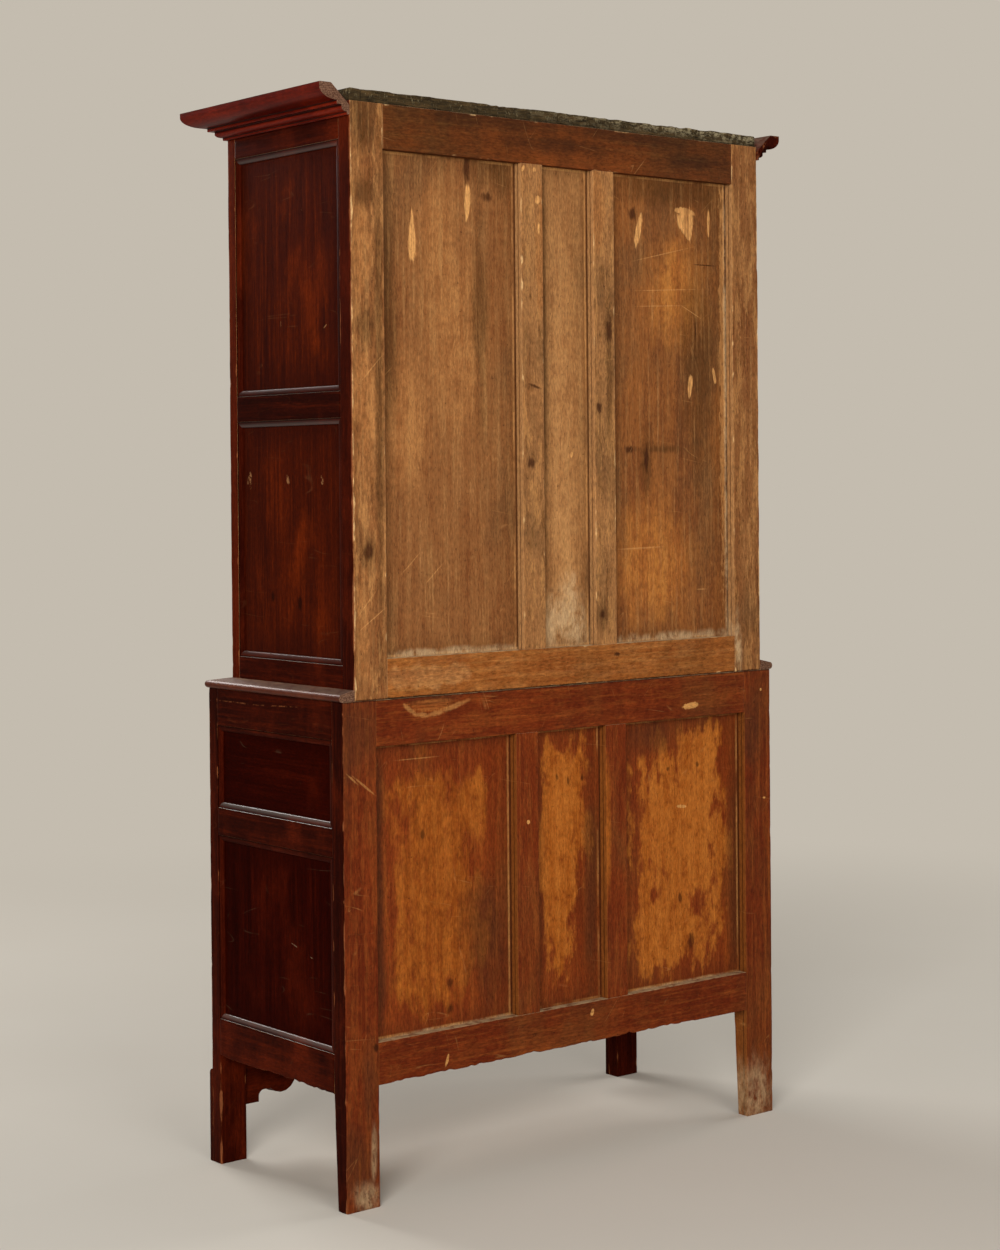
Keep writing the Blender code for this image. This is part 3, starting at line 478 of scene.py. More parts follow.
def pine(name, colours, marks, rub=0.34, patch=(1.6, 0.6), flaked=0.0, grit=0.8, gloss=(0.62, 0.85),
         dust=0.8, knotty=0.85):
    """Old pine. colours and marks are named by what they show.

    patch is how ragged and how soft the worn areas are, flaked is how much of the skin has come off, grit
    is how strongly the finest grain shows, gloss is the least and most roughness, and knotty is how dark the
    knots are.
    """
    w, shader = new_material(name)
    at = wood_readings(w, ring=0.0075, waver=0.035)
    at.coarse = w.math("SUBTRACT", w.noise(at.place, (26.0, 26.0, 10.0), 8.0, 0.66), 0.5)
    at.mottle = w.noise(at.place, (62.0, 62.0, 40.0), 8.0, 0.7)
    at.fine = w.times(w.math("SUBTRACT", w.noise(at.place, (170.0, 170.0, 40.0), 4.0, 0.6), 0.5), 1.6)

    def marked(kind, ragged, soft):
        return marks_mask(w, at.place, ragged, marks.get(kind, ()), soft)

    wood = Layers(w, colours, "deep")
    pine_ground(w, at, wood, flaked)
    pine_wear(w, at, wood, marked, patch)
    pine_edges(w, at, wood)
    cut = pine_marks(w, at, wood, marked, knotty)
    wood.lay("edge", w.group(edge_wear, Arris=at.arris, Grain=at.grain, Amount=rub)[0], 0.8)
    wood.lay("dust", at.powder, dust)
    speckled = w.math("MULTIPLY_ADD", at.grit, 2 * grit, 1 - grit)
    rough = w.math("MULTIPLY_ADD", at.streak, gloss[1] - gloss[0], gloss[0])
    height = w.math("MULTIPLY_ADD", at.fibre, 0.35, w.times(at.rings, 0.15))
    w.bump(shader, w.math("SUBTRACT", height, w.times(cut, 0.8)), strength=0.35, distance=0.0012)
    w.dress(shader, {"Base Color": w.vector("MULTIPLY", wood.colour, speckled),
                     "Roughness": w.math("MAXIMUM", rough, w.times(at.powder, 0.95)),
                     "Specular IOR Level": 0.06})


print("pine: one function for raw and stained")

# %% [markdown]
# ## Marks on the back
# These are the chips, knots, scratches and patches that stand out in the photograph, measured on the face
# of the back. Chips are pale wood, scars are torn wood, worn areas have lost their stain, grime is dark,
# chalk is a dusty bloom, lines are scratches and flecks are a row of small chips. The dark line listed
# with the knots along the seam between the carcases is painted shade, and a few grime marks at a panel's
# edge, noted below, are partly painted shadow. The near panels are at the right end.

# %% Marks on the upper back
# A dark line painted along the seam between the two carcases: painted shade in the gap.
SEAM_SHADE = (0, 900.3, 3000, 2.2)
UPPER_MARKS = {
    "raw_post": {
        "knots": [(471, 1164, 10, 13), SEAM_SHADE],
        "worn": [(471, 1400, 28, 100), (479, 1690, 22, 66), (485, 1020, 16, 90)],
        "grime": [(471, 1801, 24, 22), (475, 1925, 24, 45), (473, 1564, 24, 30), (471, 1164, 19, 24),
                  (446, 1450, 8, 400)],
        "lines": [(480, 1068, 30, 1.1, -0.84), (464, 1044, 31, 1.1, -0.59), (464, 1486, 35, 1.1, -0.79)],
        "chalk": [(-442, 945, 10, 60)],
    },
    "raw_muntin": {
        "chips": [(75, 1812, 6, 8, 0.3), (73, 1760, 3, 10), (110, 1869, 3, 6, 0.5), (83, 1868, 4, 4, 0.3)],
        "knots": [(96, 1321, 8, 10), (-79, 1030, 6, 8), (-101, 1575, 8, 24), (-74, 1425, 6, 11, 0.1),
                  (84, 1463, 12, 2.5, 0.3)],
        "worn": [(70, 1700, 14, 100), (-72, 1800, 16, 80)],
        "grime": [(-100, 1500, 8, 140), (-79, 1030, 18, 26)],
    },
    "raw_rail": {
        "knots": [(-116, 952, 7, 4), SEAM_SHADE],
        "grime": [(160, 1950, 200, 19), (-150, 1948, 180, 17), (20, 1920, 140, 18), (-330, 1915, 80, 14)],
        "worn": [(330, 935, 100, 20)],
    },
    "raw_near": {
        "chips": [(356.6, 1734, 7, 47, 0, -0.8), (229, 1797, 6.5, 34, 0.06, 0.35)],
        "lines": [(365, 1140, 24, 1, -0.73), (312, 1120, 24, 1, -0.73)],
        "knots": [(182, 1812, 10, 8), (231, 1868, 7, 28, 0, -0.3)],
        "worn": [(293, 1720, 40, 110), (375, 1400, 50, 110), (250, 1550, 70, 160)],
        # The first grime mark here is partly painted shadow, where the post shades the panel's edge.
        "grime": [(410, 1600, 16, 200), (200, 1600, 16, 160), (160, 1870, 50, 40)],
        "chalk": [(280, 975, 150, 8)],
    },
    "raw_middle": {
        "chips": [(-19, 1336, 4, 6, 0.4)],
        "worn": [(0, 1350, 50, 380)],
        # This grime mark is partly painted shadow, where the muntin shades the panel's edge.
        "grime": [(50, 1500, 8, 350)],
        "chalk": [(-2, 1020, 45, 60)],
    },
    "raw_far": {
        "chips": [(-196, 1775, 7, 34, 0.25, -0.2), (-325, 1788, 18, 34, -0.3, 0.85),
                  (-320, 1817, 26, 8, 0.1), (-385, 1795, 3, 28, 0, 0.3), (-331, 1470, 6, 22, 0.1, 0.3),
                  (-398, 1494, 4, 16, -0.2)],
        "lines": [(-259, 1730, 70, 1, -0.22), (-267, 1660, 75, 1, -0.06), (-250, 1628, 58, 1, -0.05),
                  (-334, 1620, 28, 1, 0.42), (-196, 1154, 52, 1.6, -0.02), (-357, 1068, 12, 1.4)],
        "flecks": [(-420, 1500, 7, 380)],
        "knots": [(-180, 1803, 10, 11), (-371, 1714, 24, 1.3), (-347, 1582, 2.2, 18), (-212, 1330, 5, 26),
                  (-168, 1346, 9, 6)],
        "worn": [(-230, 1120, 100, 100), (-300, 1660, 70, 90)],
        "grime": [(-212, 1330, 14, 50), (-240, 1347, 70, 7), (-300, 1850, 140, 30), (-350, 1520, 40, 170)],
        "chalk": [(-300, 976, 150, 10), (-428, 1450, 4, 400)],
    },
}
print("upper marks:", sum(len(found) for area in UPPER_MARKS.values() for found in area.values()))

# %% Marks on the base
BASE_MARKS = {
    "stained_post": {
        "chips": [(-505, 860, 3, 3), (-513, 640, 4, 2)],
        "lines": [(512, 764, 14, 1.6, 0.7), (486, 750, 26, 1.8, 0.66)],
        "knots": [(466, 283, 6, 7), SEAM_SHADE],
        "grime": [(500, 835, 50, 75, 0.35), (-480, 780, 30, 60), (497, 75, 42, 75), (480, 200, 14, 100)],
        "chalk": [(-481, 34, 44, 66), (486, 24, 30, 22, 0.3), (472, 95, 6, 45)],
    },
    "stained_frame": {
        "chips": [(-309, 840, 22, 6, -0.08), (110, 650, 4, 4), (-45, 272, 4, 7, 0.4),
                  (306, 236, 3, 12, 0.3)],
        "scars": [(335, 884, 50, 12)],
        "lines": [(384, 878, 16, 4, 0.62), (358, 867, 20, 4, 0.15), (326, 868, 20, 4.5, -0.15),
                  (284, 878, 30, 4.5, -0.25)],
        "knots": [SEAM_SHADE],
        "worn": [(-85, 620, 10, 120)],
        "grime": [(330, 892, 50, 6)],
    },
    "stained_near": {
        "knots": [(344, 648, 6, 8), (284, 373, 6, 7), (284, 324, 6, 8)],
        "lines": [(355, 787, 43, 1)],
        "worn": [(322, 600, 94, 140), (290, 430, 80, 90), (390, 450, 22, 90), (230, 690, 30, 60)],
        # The second grime mark here is partly painted shadow, where the post shades the panel's edge.
        "grime": [(200, 440, 45, 110), (445, 550, 12, 250)],
        "chalk": [(300, 292, 160, 3)],
    },
    "stained_middle": {
        "knots": [(24, 725, 3, 6), (-4, 716, 3, 6), (-39, 719, 3, 7)],
        "worn": [(10, 600, 54, 200, 0.05, 0.12)],
        "grime": [(-60, 520, 16, 180)],
    },
    "stained_far": {
        "chips": [(-300, 640, 14, 3, 0.1)],
        "knots": [(-293, 459, 5, 9), (-323, 370, 7, 15, 0.1), (-264, 717, 4, 4), (-343, 720, 4, 5)],
        "worn": [(-300, 590, 116, 170, -0.06), (-360, 745, 44, 60), (-270, 400, 104, 85)],
        "grime": [(-220, 785, 60, 30), (-445, 520, 18, 230)],
        "chalk": [(-300, 292, 150, 3)],
    },
}
print("base marks:", sum(len(found) for area in BASE_MARKS.values() for found in area.values()))

# %% [markdown]
# ## The pine finishes
# A finish is named for its half of the back and for its place there. The boards of one half differ a
# little, as boards do, so each has the common colours with a few of its own. The frames have a skin that
# comes off in flakes, and the inside of the cupboard is cleaner than anything outside.

# %% Pine finishes
RAW_TONES = {
    "deep": "#66381a", "plain": "#7d4f2a", "fair": "#92643a", "dirt": "#5e3f24", "worn": "#9a683a",
    "worn_deep": "#85532b", "grime": "#42270f", "fibre": "#a37645", "chip": "#c48d52", "scar": "#bb7d45",
    "knot": "#381a0a", "dust": "#bfa37a", "wall": "#a87a4c", "flake": "#ae7b47", "crust": "#55310f",
    "edge": "#c9a06c"}
STAINED_TONES = {
    "deep": "#521b06", "plain": "#68290c", "fair": "#7d3911", "dirt": "#5a3013", "worn": "#925019",
    "worn_deep": "#7c3d0f", "grime": "#452411", "fibre": "#8f4c1c", "chip": "#bb8448", "scar": "#9a5c28",
    "knot": "#2a1003", "dust": "#ac906a", "wall": "#7c461b", "flake": "#8a4a1c", "crust": "#451a06",
    "edge": "#935c2c"}
INSIDE_TONES = {**RAW_TONES, "deep": "#8c6238", "plain": "#a87b49", "fair": "#b98c58", "dirt": "#84603c"}
PALER = {**RAW_TONES, "worn": "#a87848", "worn_deep": "#95653a"}
WARMER = {**RAW_TONES, "plain": "#814d24", "fair": "#966233", "worn": "#a2662d", "worn_deep": "#8b4f21"}
SOOTIER = {**RAW_TONES, "deep": "#6a3412", "plain": "#824a1e", "fair": "#975f2b", "fibre": "#a8733a",
           "dirt": "#603a19", "grime": "#261408"}
BARER = {**STAINED_TONES, "worn": "#a35e21", "worn_deep": "#8b4813"}
RAW_FRAME = {"flaked": 0.42, "grit": 0.95, "patch": (3.0, 0.25)}
STAINED_PANEL = {"patch": (3.2, 0.2), "grit": 0.85, "gloss": (0.5, 0.72), "knotty": 0.65}
STAINED_FRAME = {"rub": 0.2, "flaked": 0.3, "gloss": (0.5, 0.72)}
PINES = {
    "inside": (INSIDE_TONES, {"rub": 0.3, "dust": 0.3}),
    "raw_near": (RAW_TONES, {}),
    "raw_middle": (PALER, {}),
    "raw_far": (WARMER, {}),
    "raw_post": (RAW_TONES, RAW_FRAME),
    "raw_muntin": (RAW_TONES, {**RAW_FRAME, "rub": 0.42}),
    "raw_rail": (SOOTIER, {**RAW_FRAME, "flaked": 0.12}),
    "stained_near": (STAINED_TONES, {**STAINED_PANEL, "patch": (3.2, 0.36)}),
    "stained_middle": (BARER, STAINED_PANEL),
    "stained_far": (BARER, STAINED_PANEL),
    "stained_post": (STAINED_TONES, STAINED_FRAME),
    "stained_frame": (STAINED_TONES, STAINED_FRAME),
}
for name, (colours, options) in PINES.items():
    pine(name, colours, {**UPPER_MARKS, **BASE_MARKS}.get(name, {}), **options)
print("pine finishes:", list(LOOKS))

# %% [markdown]
# ## Dark polish
# The ends, the mouldings and the front are stained a deep red-brown and polished. A polish is a clear film
# over the wood, so the shader has a coat as well as a base. Rubbing has taken the colour off the arrises,
# which show as thin pale lines, the hollows have gathered black dirt, and fine dust dulls whatever lies
# level.

# %% Polish layers
INK, HOUSE_DUST, VARNISH = "#0f0301", "#7d6a58", "#ff8c68"


def polish_layers(w, at, colours, marks, knots, edge):
    """Stained wood with its dents, knots, scratches and rubbed arrises, and painted shade at a panel's rim."""
    level = w.math("ADD", at.streak, at.shade)
    red = Layers(w, colours, "deep")
    red.lay("plain", w.step(level, 0.24, 0.76))
    red.lay("fair", w.step(level, 0.66, 1.1))
    red.lay("fair", w.step(at.clouds, 0.48, 0.7), 0.75)
    red.lay("deep", w.step(at.clouds, 0.48, 0.3), 0.7)
    red.lay("deep", at.rings, 0.15)
    red.lay("fair", w.step(at.fibre, 0.47, 0.68), 0.38)
    red.lay("deep", w.step(at.fibre, 0.47, 0.3), 0.38)
    # Painted shade: darker towards a panel's rim.
    red.lay("deep", w.step(at.nearest, 0.07, 0.0), 0.6)
    end_place = w.node("ShaderNodeCombineXYZ", {X: at.spot[Y], Z: at.spot[Z]}).outputs[0]
    fine = w.math("SUBTRACT", w.noise(at.place, (140.0, 140.0, 60.0), 3.0), 0.5)
    broken = w.step(w.noise(at.place, (70.0, 70.0, 70.0), 5.0, 0.7), 0.46, 0.58)
    red.lay("bare", marks_mask(w, end_place, fine, marks), broken, 0.6)
    red.lay(INK, marks_mask(w, end_place, w.times(fine, 1.4), knots, 0.5), 0.7)
    red.lay("bare", at.scratches, 0.07)
    red.lay("bare", edge, 0.8)
    red.lay(INK, w.step(at.arris, -0.1, -0.8), 0.85)
    return red


print("polish: its layers")

# %% Polish finish


def polish(name, colours, dull=(0.26, 0.42), rub=0.5, marks=(), knots=(), shine=0.012, coat=0.0, under=0.0,
           dusty=0.0, slope=0.8):
    """Stained and polished wood, rubbed pale along its arrises. The old varnish tints what it reflects.

    coat is the weight of the clear film where a surface looks up, and under where it looks down. dusty is
    how far dust has dulled the surfaces that lie level, and slope is how far up a surface has to look to
    hold it. The marks lie on an end, so their first number is a place from front to back.
    """
    w, shader = new_material(name)
    at = wood_readings(w, ring=0.006, waver=0.03)
    edge = w.group(edge_wear, Arris=at.arris, Grain=at.grain, Amount=rub)[0]
    red = polish_layers(w, at, colours, marks, knots, edge)
    red.lay(HOUSE_DUST, at.powder, 0.2 + 0.4 * dusty)
    speckled = w.math("MULTIPLY_ADD", at.grit, 1.5, 0.25)
    up = at.facing[Z]
    rough = w.math("MULTIPLY_ADD", at.smears, dull[1] - dull[0], dull[0])
    rough = w.math("MAXIMUM", rough, w.times(edge, 0.6))
    level_top = w.times(w.step(up, slope, slope + 0.17), dusty)
    height = w.math("MULTIPLY_ADD", at.streak, 0.5, w.times(at.fibre, 0.15))
    w.bump(shader, height, strength=0.12, distance=0.001)
    w.dress(shader, {"Base Color": w.vector("MULTIPLY", red.colour, speckled),
                     "Roughness": w.math("MAXIMUM", rough, level_top),
                     "Specular IOR Level": shine, "Specular Tint": tone(VARNISH),
                     "Coat Roughness": 0.28, "Coat IOR": 1.7})
    if coat:
        film = w.times(w.step(up, 0.0, 0.35), coat)
        w.put(shader.inputs["Coat Weight"], w.math("MULTIPLY_ADD", w.step(up, 0.0, -0.35), under, film))


print("polish: one function for ends, mouldings and front")

# %% Polished finishes
UPPER_DENTS = [(-103, 1291, 7.5, 16), (23, 1292, 4, 9, 0.3), (76, 1782, 3, 3), (132, 1291, 4, 8, 0.2),
               (5, 1576, 1.5, 8, 0.1), (146, 1566, 6, 1.6, 0.6)]
UPPER_KNOTS = [(59, 1066, 6, 12), (-29, 1076, 5, 9)]
BASE_DENTS = [(70, 449, 10, 1, -0.26), (122, 435, 8, 0.9, -0.26)]
RAIL_FLECKS = [(-100, 877.8, 60, 1.3), (35, 880.5, 70, 1.2, 0.04)]
DARK = {"deep": "#200502", "plain": "#380d04", "fair": "#5a1c09", "bare": "#7a4c34"}
polish("polish", {**DARK, "bare": "#81492a"}, marks=RAIL_FLECKS)
polish("moulding", DARK, dull=(0.26, 0.4), rub=0.3, coat=0.3, under=0.7)
polish("base_moulding", DARK, dull=(0.3, 0.44), rub=0.3, coat=1.0)
polish("waist", {"deep": "#341005", "plain": "#54210f", "fair": "#7a4228", "bare": "#a07a5a"},
       dull=(0.36, 0.5), shine=0.18, coat=0.15, dusty=0.55)
polish("polish_upper_panel", {"deep": "#2a0702", "plain": "#491403", "fair": "#6e2506", "bare": "#a07048"},
       marks=UPPER_DENTS, knots=UPPER_KNOTS, shine=0.016)
polish("polish_base_panel", {"deep": "#1f0200", "plain": "#300601", "fair": "#4a1204", "bare": "#a08468"},
       marks=BASE_DENTS, shine=0.006)
polish("cornice", {"deep": "#3c0803", "plain": "#5d1206", "fair": "#7f240f", "bare": "#8a543e"},
       dull=(0.3, 0.44), rub=0.2, shine=0.025, coat=0.01, under=0.1, dusty=0.95, slope=0.25)
print("polished finishes:", list(LOOKS)[len(PINES):])

# %% [markdown]
# ## Sooty top
# The top board has gathered soot and dust for generations. It is nearly black at its back edge, but knocked
# pale along the top of that edge and bleached towards the far end. Dust lies grey on the face that looks
# up.

# %% Sooty top


def sooty_top(foot, top):
    """Rough sawn wood under soot, with pale flecks where it has been knocked, most of them near its top.

    foot and top are the levels of its lower and upper face.
    """
    w, shader = new_material("sooty_top")
    at = surface_readings(w)
    fibre = w.noise(at.grain, (40.0, 420.0, 420.0), 4.0, 0.65)
    flecks = w.step(w.noise(at.place, (170.0, 170.0, 80.0), 6.0, 0.75), 0.54, 0.64)
    clouds = w.noise(at.place, (9.0, 30.0, 60.0), 7.0, 0.72)
    high_up = w.math("MULTIPLY_ADD", w.step(at.spot[Z], foot, top), 0.75, 0.25)
    bleached = w.step(w.noise(at.place, (70.0, 70.0, 150.0), 6.0, 0.72), 0.46, 0.6)
    soot = Layers(w, {}, "#19130b")
    soot.lay("#43351f", w.step(fibre, 0.3, 0.7))
    soot.lay("#61492b", w.step(clouds, 0.48, 0.7), 0.6)
    soot.lay("#a3916a", flecks, high_up, 0.65)
    soot.lay("#b0a07c", bleached, w.step(at.spot[X], 0.3, -0.5), high_up, 0.65)
    streaks = w.step(w.noise(at.grain, (3.0, 60.0, 60.0), 7.0, 0.7), 0.35, 0.65)
    soot.lay(w.mix(streaks, tone("#5f5242"), tone("#857663")), w.step(at.facing[Z], 0.5, 0.9), 0.75)
    soot.lay("#948672", w.group(settled_dust, Normal=at.normal, Place=at.place)[0], 0.3)
    w.bump(shader, w.math("ADD", fibre, flecks), strength=0.8, distance=0.002)
    w.dress(shader, {"Base Color": soot.colour, "Roughness": 0.92, "Specular IOR Level": 0.08})


sooty_top(*(corner[Z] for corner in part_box("top_board")))
print("finish:", list(LOOKS)[-1])

# %% [markdown]
# ## End grain, dovetails and brass
# The mouldings are cut square at the back and show their end grain. The drawer fronts show their dovetails
# at each end, which are worked out from the distance behind the drawer's face. The butt hinges are brass
# that has browned.

# %% End grain and brass


def end_grain():
    """Wood cut across: grey-brown, with open pores."""
    w, shader = new_material("end_grain")
    at = wood_readings(w, ring=0.004, waver=0.006)
    pores = w.noise(at.place, (520.0, 520.0, 520.0), 3.0, 0.7)
    grey = Layers(w, {}, "#3a2014")
    grey.lay("#7c5c48", w.step(pores, 0.35, 0.65))
    grey.lay("#45261a", at.rings, 0.35)
    w.bump(shader, pores, strength=0.6, distance=0.001)
    w.dress(shader, {"Base Color": grey.colour, "Roughness": 0.88, "Specular IOR Level": 0.05})


def old_brass():
    """Bright where it is rubbed, dull and rougher where it has tarnished."""
    w, shader = new_material("brass")
    tarnish = w.step(w.noise(surface_readings(w).place, (120.0, 120.0, 120.0), 5.0, 0.65), 0.35, 0.65)
    w.dress(shader, {"Base Color": w.mix(tarnish, tone("#b8934f"), tone("#6b5430")), "Metallic": 1.0,
                     "Roughness": w.math("MULTIPLY_ADD", tarnish, 0.25, 0.3)})


end_grain()
old_brass()
print("finishes:", list(LOOKS)[-2:])

# %% Dovetails
DRAWER_FRONT, LAP, TAIL_PITCH = 0.020, 0.006, 0.033
TAIL_HALF, TAIL_SLOPE = 0.45, -7.0


def dovetailed(front):
    """End of a drawer front: tails of the pine side, as wide trapezoids, between pins of darker end grain.

    front is where the drawer's face lies. A tail is widest at the lap behind the face.
    """
    w, shader = new_material("dovetailed")
    at = surface_readings(w)
    run = w.math("SUBTRACT", at.spot[Y], front)
    turn = w.math("FRACT", w.math("DIVIDE", at.spot[Z], TAIL_PITCH))
    off_centre = w.math("ABSOLUTE", w.math("SUBTRACT", turn, 0.5))
    past = w.math("SUBTRACT", off_centre, w.math("MULTIPLY_ADD", run, TAIL_SLOPE, TAIL_HALF))
    behind = w.step(run, LAP, LAP + 0.0004)
    fibre = w.noise(at.place, (300.0, 12.0, 300.0), 4.0, 0.65)
    pores = w.noise(at.place, (420.0, 420.0, 420.0), 3.0, 0.7)
    side = w.mix(w.step(fibre, 0.35, 0.65), tone(INSIDE_TONES["deep"]), tone(INSIDE_TONES["plain"]))
    wood = Layers(w, {}, "#5a3a20")
    wood.lay("#7d5633", w.step(pores, 0.35, 0.65))
    wood.lay(side, w.step(past, 0.02, -0.02), behind)
    wood.lay("#2c1a0c", w.step(w.math("ABSOLUTE", past), 0.025, 0.008), behind, 0.8)
    w.dress(shader, {"Base Color": wood.colour, "Roughness": 0.8, "Specular IOR Level": 0.08})


dovetailed(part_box("left_drawer")[0][Y])
print("finish:", list(LOOKS)[-1])

# %% [markdown]
# ## A board
# Nearly everything here is a board: a box with slightly rounded arrises. A cube with a Bevel modifier would
# do for a new board, but not for an old one, whose arrises are rubbed more in some places than in others.
# So the board is a rounded rectangle carried along the grain, with a radius at each corner that wanders as
# it goes. The same step writes the `grain` and `arris` attributes that the finishes read.

# %% What a name decides
KNOT_COUNT = 4096
SHADES = {
    "upper_back_frame top": -0.44, "upper_back_frame bottom": 0.0, "upper_back_frame muntin 0": 0.38,
    "upper_back_frame muntin 1": 0.24, "upper_back_panel_left": -0.06, "upper_back_panel_middle": 0.24,
    "upper_back_panel_right": 0.02, "upper_right_end_frame high post": 0.03,
    "upper_left_end_frame high post": 0.0, "base_back_frame top": -0.10, "base_back_frame bottom": -0.14,
    "base_back_frame muntin 0": -0.06, "base_back_frame muntin 1": -0.04, "base_back_panel_left": 0.08,
    "base_back_panel_middle": 0.05, "base_back_panel_right": 0.05, "upper_right_end_frame low post": 0.40,
    "upper_right_end_frame rail 2": -0.15, "base_right_end_frame low post": -0.03,
    "base_right_end_frame high post": -0.10, "base_left_end_frame high post": -0.11,
}


def seed_of(name):
    """A seed that belongs to a name, so that every run draws the same numbers."""
    return zlib.crc32(name.encode())


def shade_of(name):
    """How pale a board is: chosen for the boards that show most, and drawn from the name for the rest."""
    return SHADES.get(name, np.random.default_rng(seed_of(name) + 5).uniform(-0.08, 0.08))


def cut_from(name, off_heart=0.05, deepest=0.09):
    """Where in a log a board was cut: metres along it, off its heart and out from its heart."""
    return np.random.default_rng(seed_of(name)).uniform((0.0, -off_heart, 0.02), (30.0, off_heart, deepest))


def drift(where, pitch, seed):
    """A smooth wandering value from -1 to 1: random knots one pitch apart, joined by smooth steps."""
    knots = np.random.default_rng(seed).uniform(-1.0, 1.0, KNOT_COUNT)
    steps = np.asarray(where) / pitch + KNOT_COUNT / 2
    low = np.floor(steps).astype(int)
    share = steps - low
    share = share * share * (3.0 - 2.0 * share)
    return knots[low % KNOT_COUNT] * (1.0 - share) + knots[(low + 1) % KNOT_COUNT] * share


print("shades chosen for", len(SHADES), "boards")

# %% Places, radii and faces
LONG_WANDER, SHORT_WANDER = (0.45, 0.06), (0.25, 0.017)
CHIP_PITCH, CHIP_LEVEL, CHIP_RANGE = 0.022, 0.55, 0.45


def places_along(length, gap, holds):
    """Places on a line: its ends, the held distances from each end, and even steps between."""
    holds = np.array([h for h in holds if h < 0.45 * length])
    inner = holds[-1] if len(holds) else 0.0
    even = np.linspace(inner, length - inner, max(1, round((length - 2 * inner) / gap)) + 1)
    return np.unique(np.round(np.concatenate([[0.0, length], holds, length - holds, even]), 7))


def worn_radii(seed, s, radius, chip, most):
    """Four corners' radii at the stations s: radius * wander, and chips where a second value is high."""
    worn = []
    for k, own in enumerate(np.broadcast_to(radius, 4)):
        wander = 1.0
        for start, (share, pitch) in ((0, LONG_WANDER), (10, SHORT_WANDER)):
            wander = wander + share * drift(s, pitch, seed + start + k)
        knock = np.clip(drift(s, CHIP_PITCH, seed + 20 + k) - CHIP_LEVEL, 0.0, 1.0) / CHIP_RANGE
        worn.append(np.minimum(own * wander + chip * knock, most)[:, None])
    return worn


def as_part(name, points, grain, arris, strip_looks, end_looks, flip=False):
    """A tube of points (stations by steps round) as faces: quads between stations, and a cap on each end."""
    rows, columns = points.shape[:2]
    index = np.arange(rows * columns).reshape(rows, columns)
    ahead = np.roll(index, -1, axis=1)
    quads = np.stack([index[:-1], ahead[:-1], ahead[1:], index[1:]], -1).reshape(-1, 4)
    faces = quads.tolist() + [index[0, ::-1].tolist(), index[-1].tolist()]
    if flip:
        faces = [face[::-1] for face in faces]
    return {"points": points.reshape(-1, 3), "faces": faces, "grain": grain.reshape(-1, 3),
            "arris": np.broadcast_to(arris, (rows, columns)).reshape(-1), "rim": np.ones((index.size, 3)),
            "shade": np.full(index.size, shade_of(name)),
            "looks": list(strip_looks) * (rows - 1) + list(end_looks)}


print("faces: quads between stations")

# %% Outline of a board
ARC = np.linspace(0.0, np.pi / 2, 5)
CORNER_SIGNS = ((1, -1), (1, 1), (-1, 1), (-1, -1))
FULL_ARRIS, MOST_RUBBED, HALF_ROUND = 0.0012, 1.6, 0.29


def stations(length, ease, gap, holds):
    """Places along a board, with two in each rounded end, and how far the outline is drawn in at each."""
    inner = places_along(length - 2 * ease, gap, holds) + ease
    s = np.concatenate([[0.0, HALF_ROUND * ease], inner, [length - HALF_ROUND * ease, length]])
    inset = np.zeros((len(s), 1))
    inset[[0, -1]] = ease
    inset[[1, -2]] = HALF_ROUND * ease
    return s, inset


def outline(half, inset, radii, span, holds):
    """A rectangle at every station, with straight sides between corners that are arcs of their own radii.

    Returns how far each point is across and up, how rubbed it is, and which side comes after it.
    """

    def arc(k, turn):
        signs, r = CORNER_SIGNS[k], radii[k]
        return (signs[0] * (half[0] - inset - r) + r * np.cos(turn),
                signs[1] * (half[1] - inset - r) + r * np.sin(turn))

    across, lift, arris, sides = [], [], [], []
    for k in range(4):
        corner = arc(k, ARC + (k - 1) * np.pi / 2)
        stop = arc((k + 1) % 4, k * np.pi / 2)
        width = 2 * half[0 if k % 2 else 1]
        share = places_along(width, span, holds)[1:-1] / width
        for found, start, end in zip((across, lift), corner, stop):
            found.extend([start, start[:, -1:] * (1 - share) + end * share])
        rubbed = np.clip(radii[k] / FULL_ARRIS, 0.0, MOST_RUBBED)
        arris += [np.repeat(rubbed, len(ARC), axis=1), np.zeros((len(inset), len(share)))]
        sides += [k - 1] * 2 + [k] * (len(share) + 3)
    return [np.concatenate(found, 1) for found in (across, lift, arris)] + [sides]


print("outline: four arcs of", len(ARC), "points")

# %% Board
PLAIN_ARRIS, EASED_ARRIS, END_HOLD = 0.0007, 0.0009, 0.004


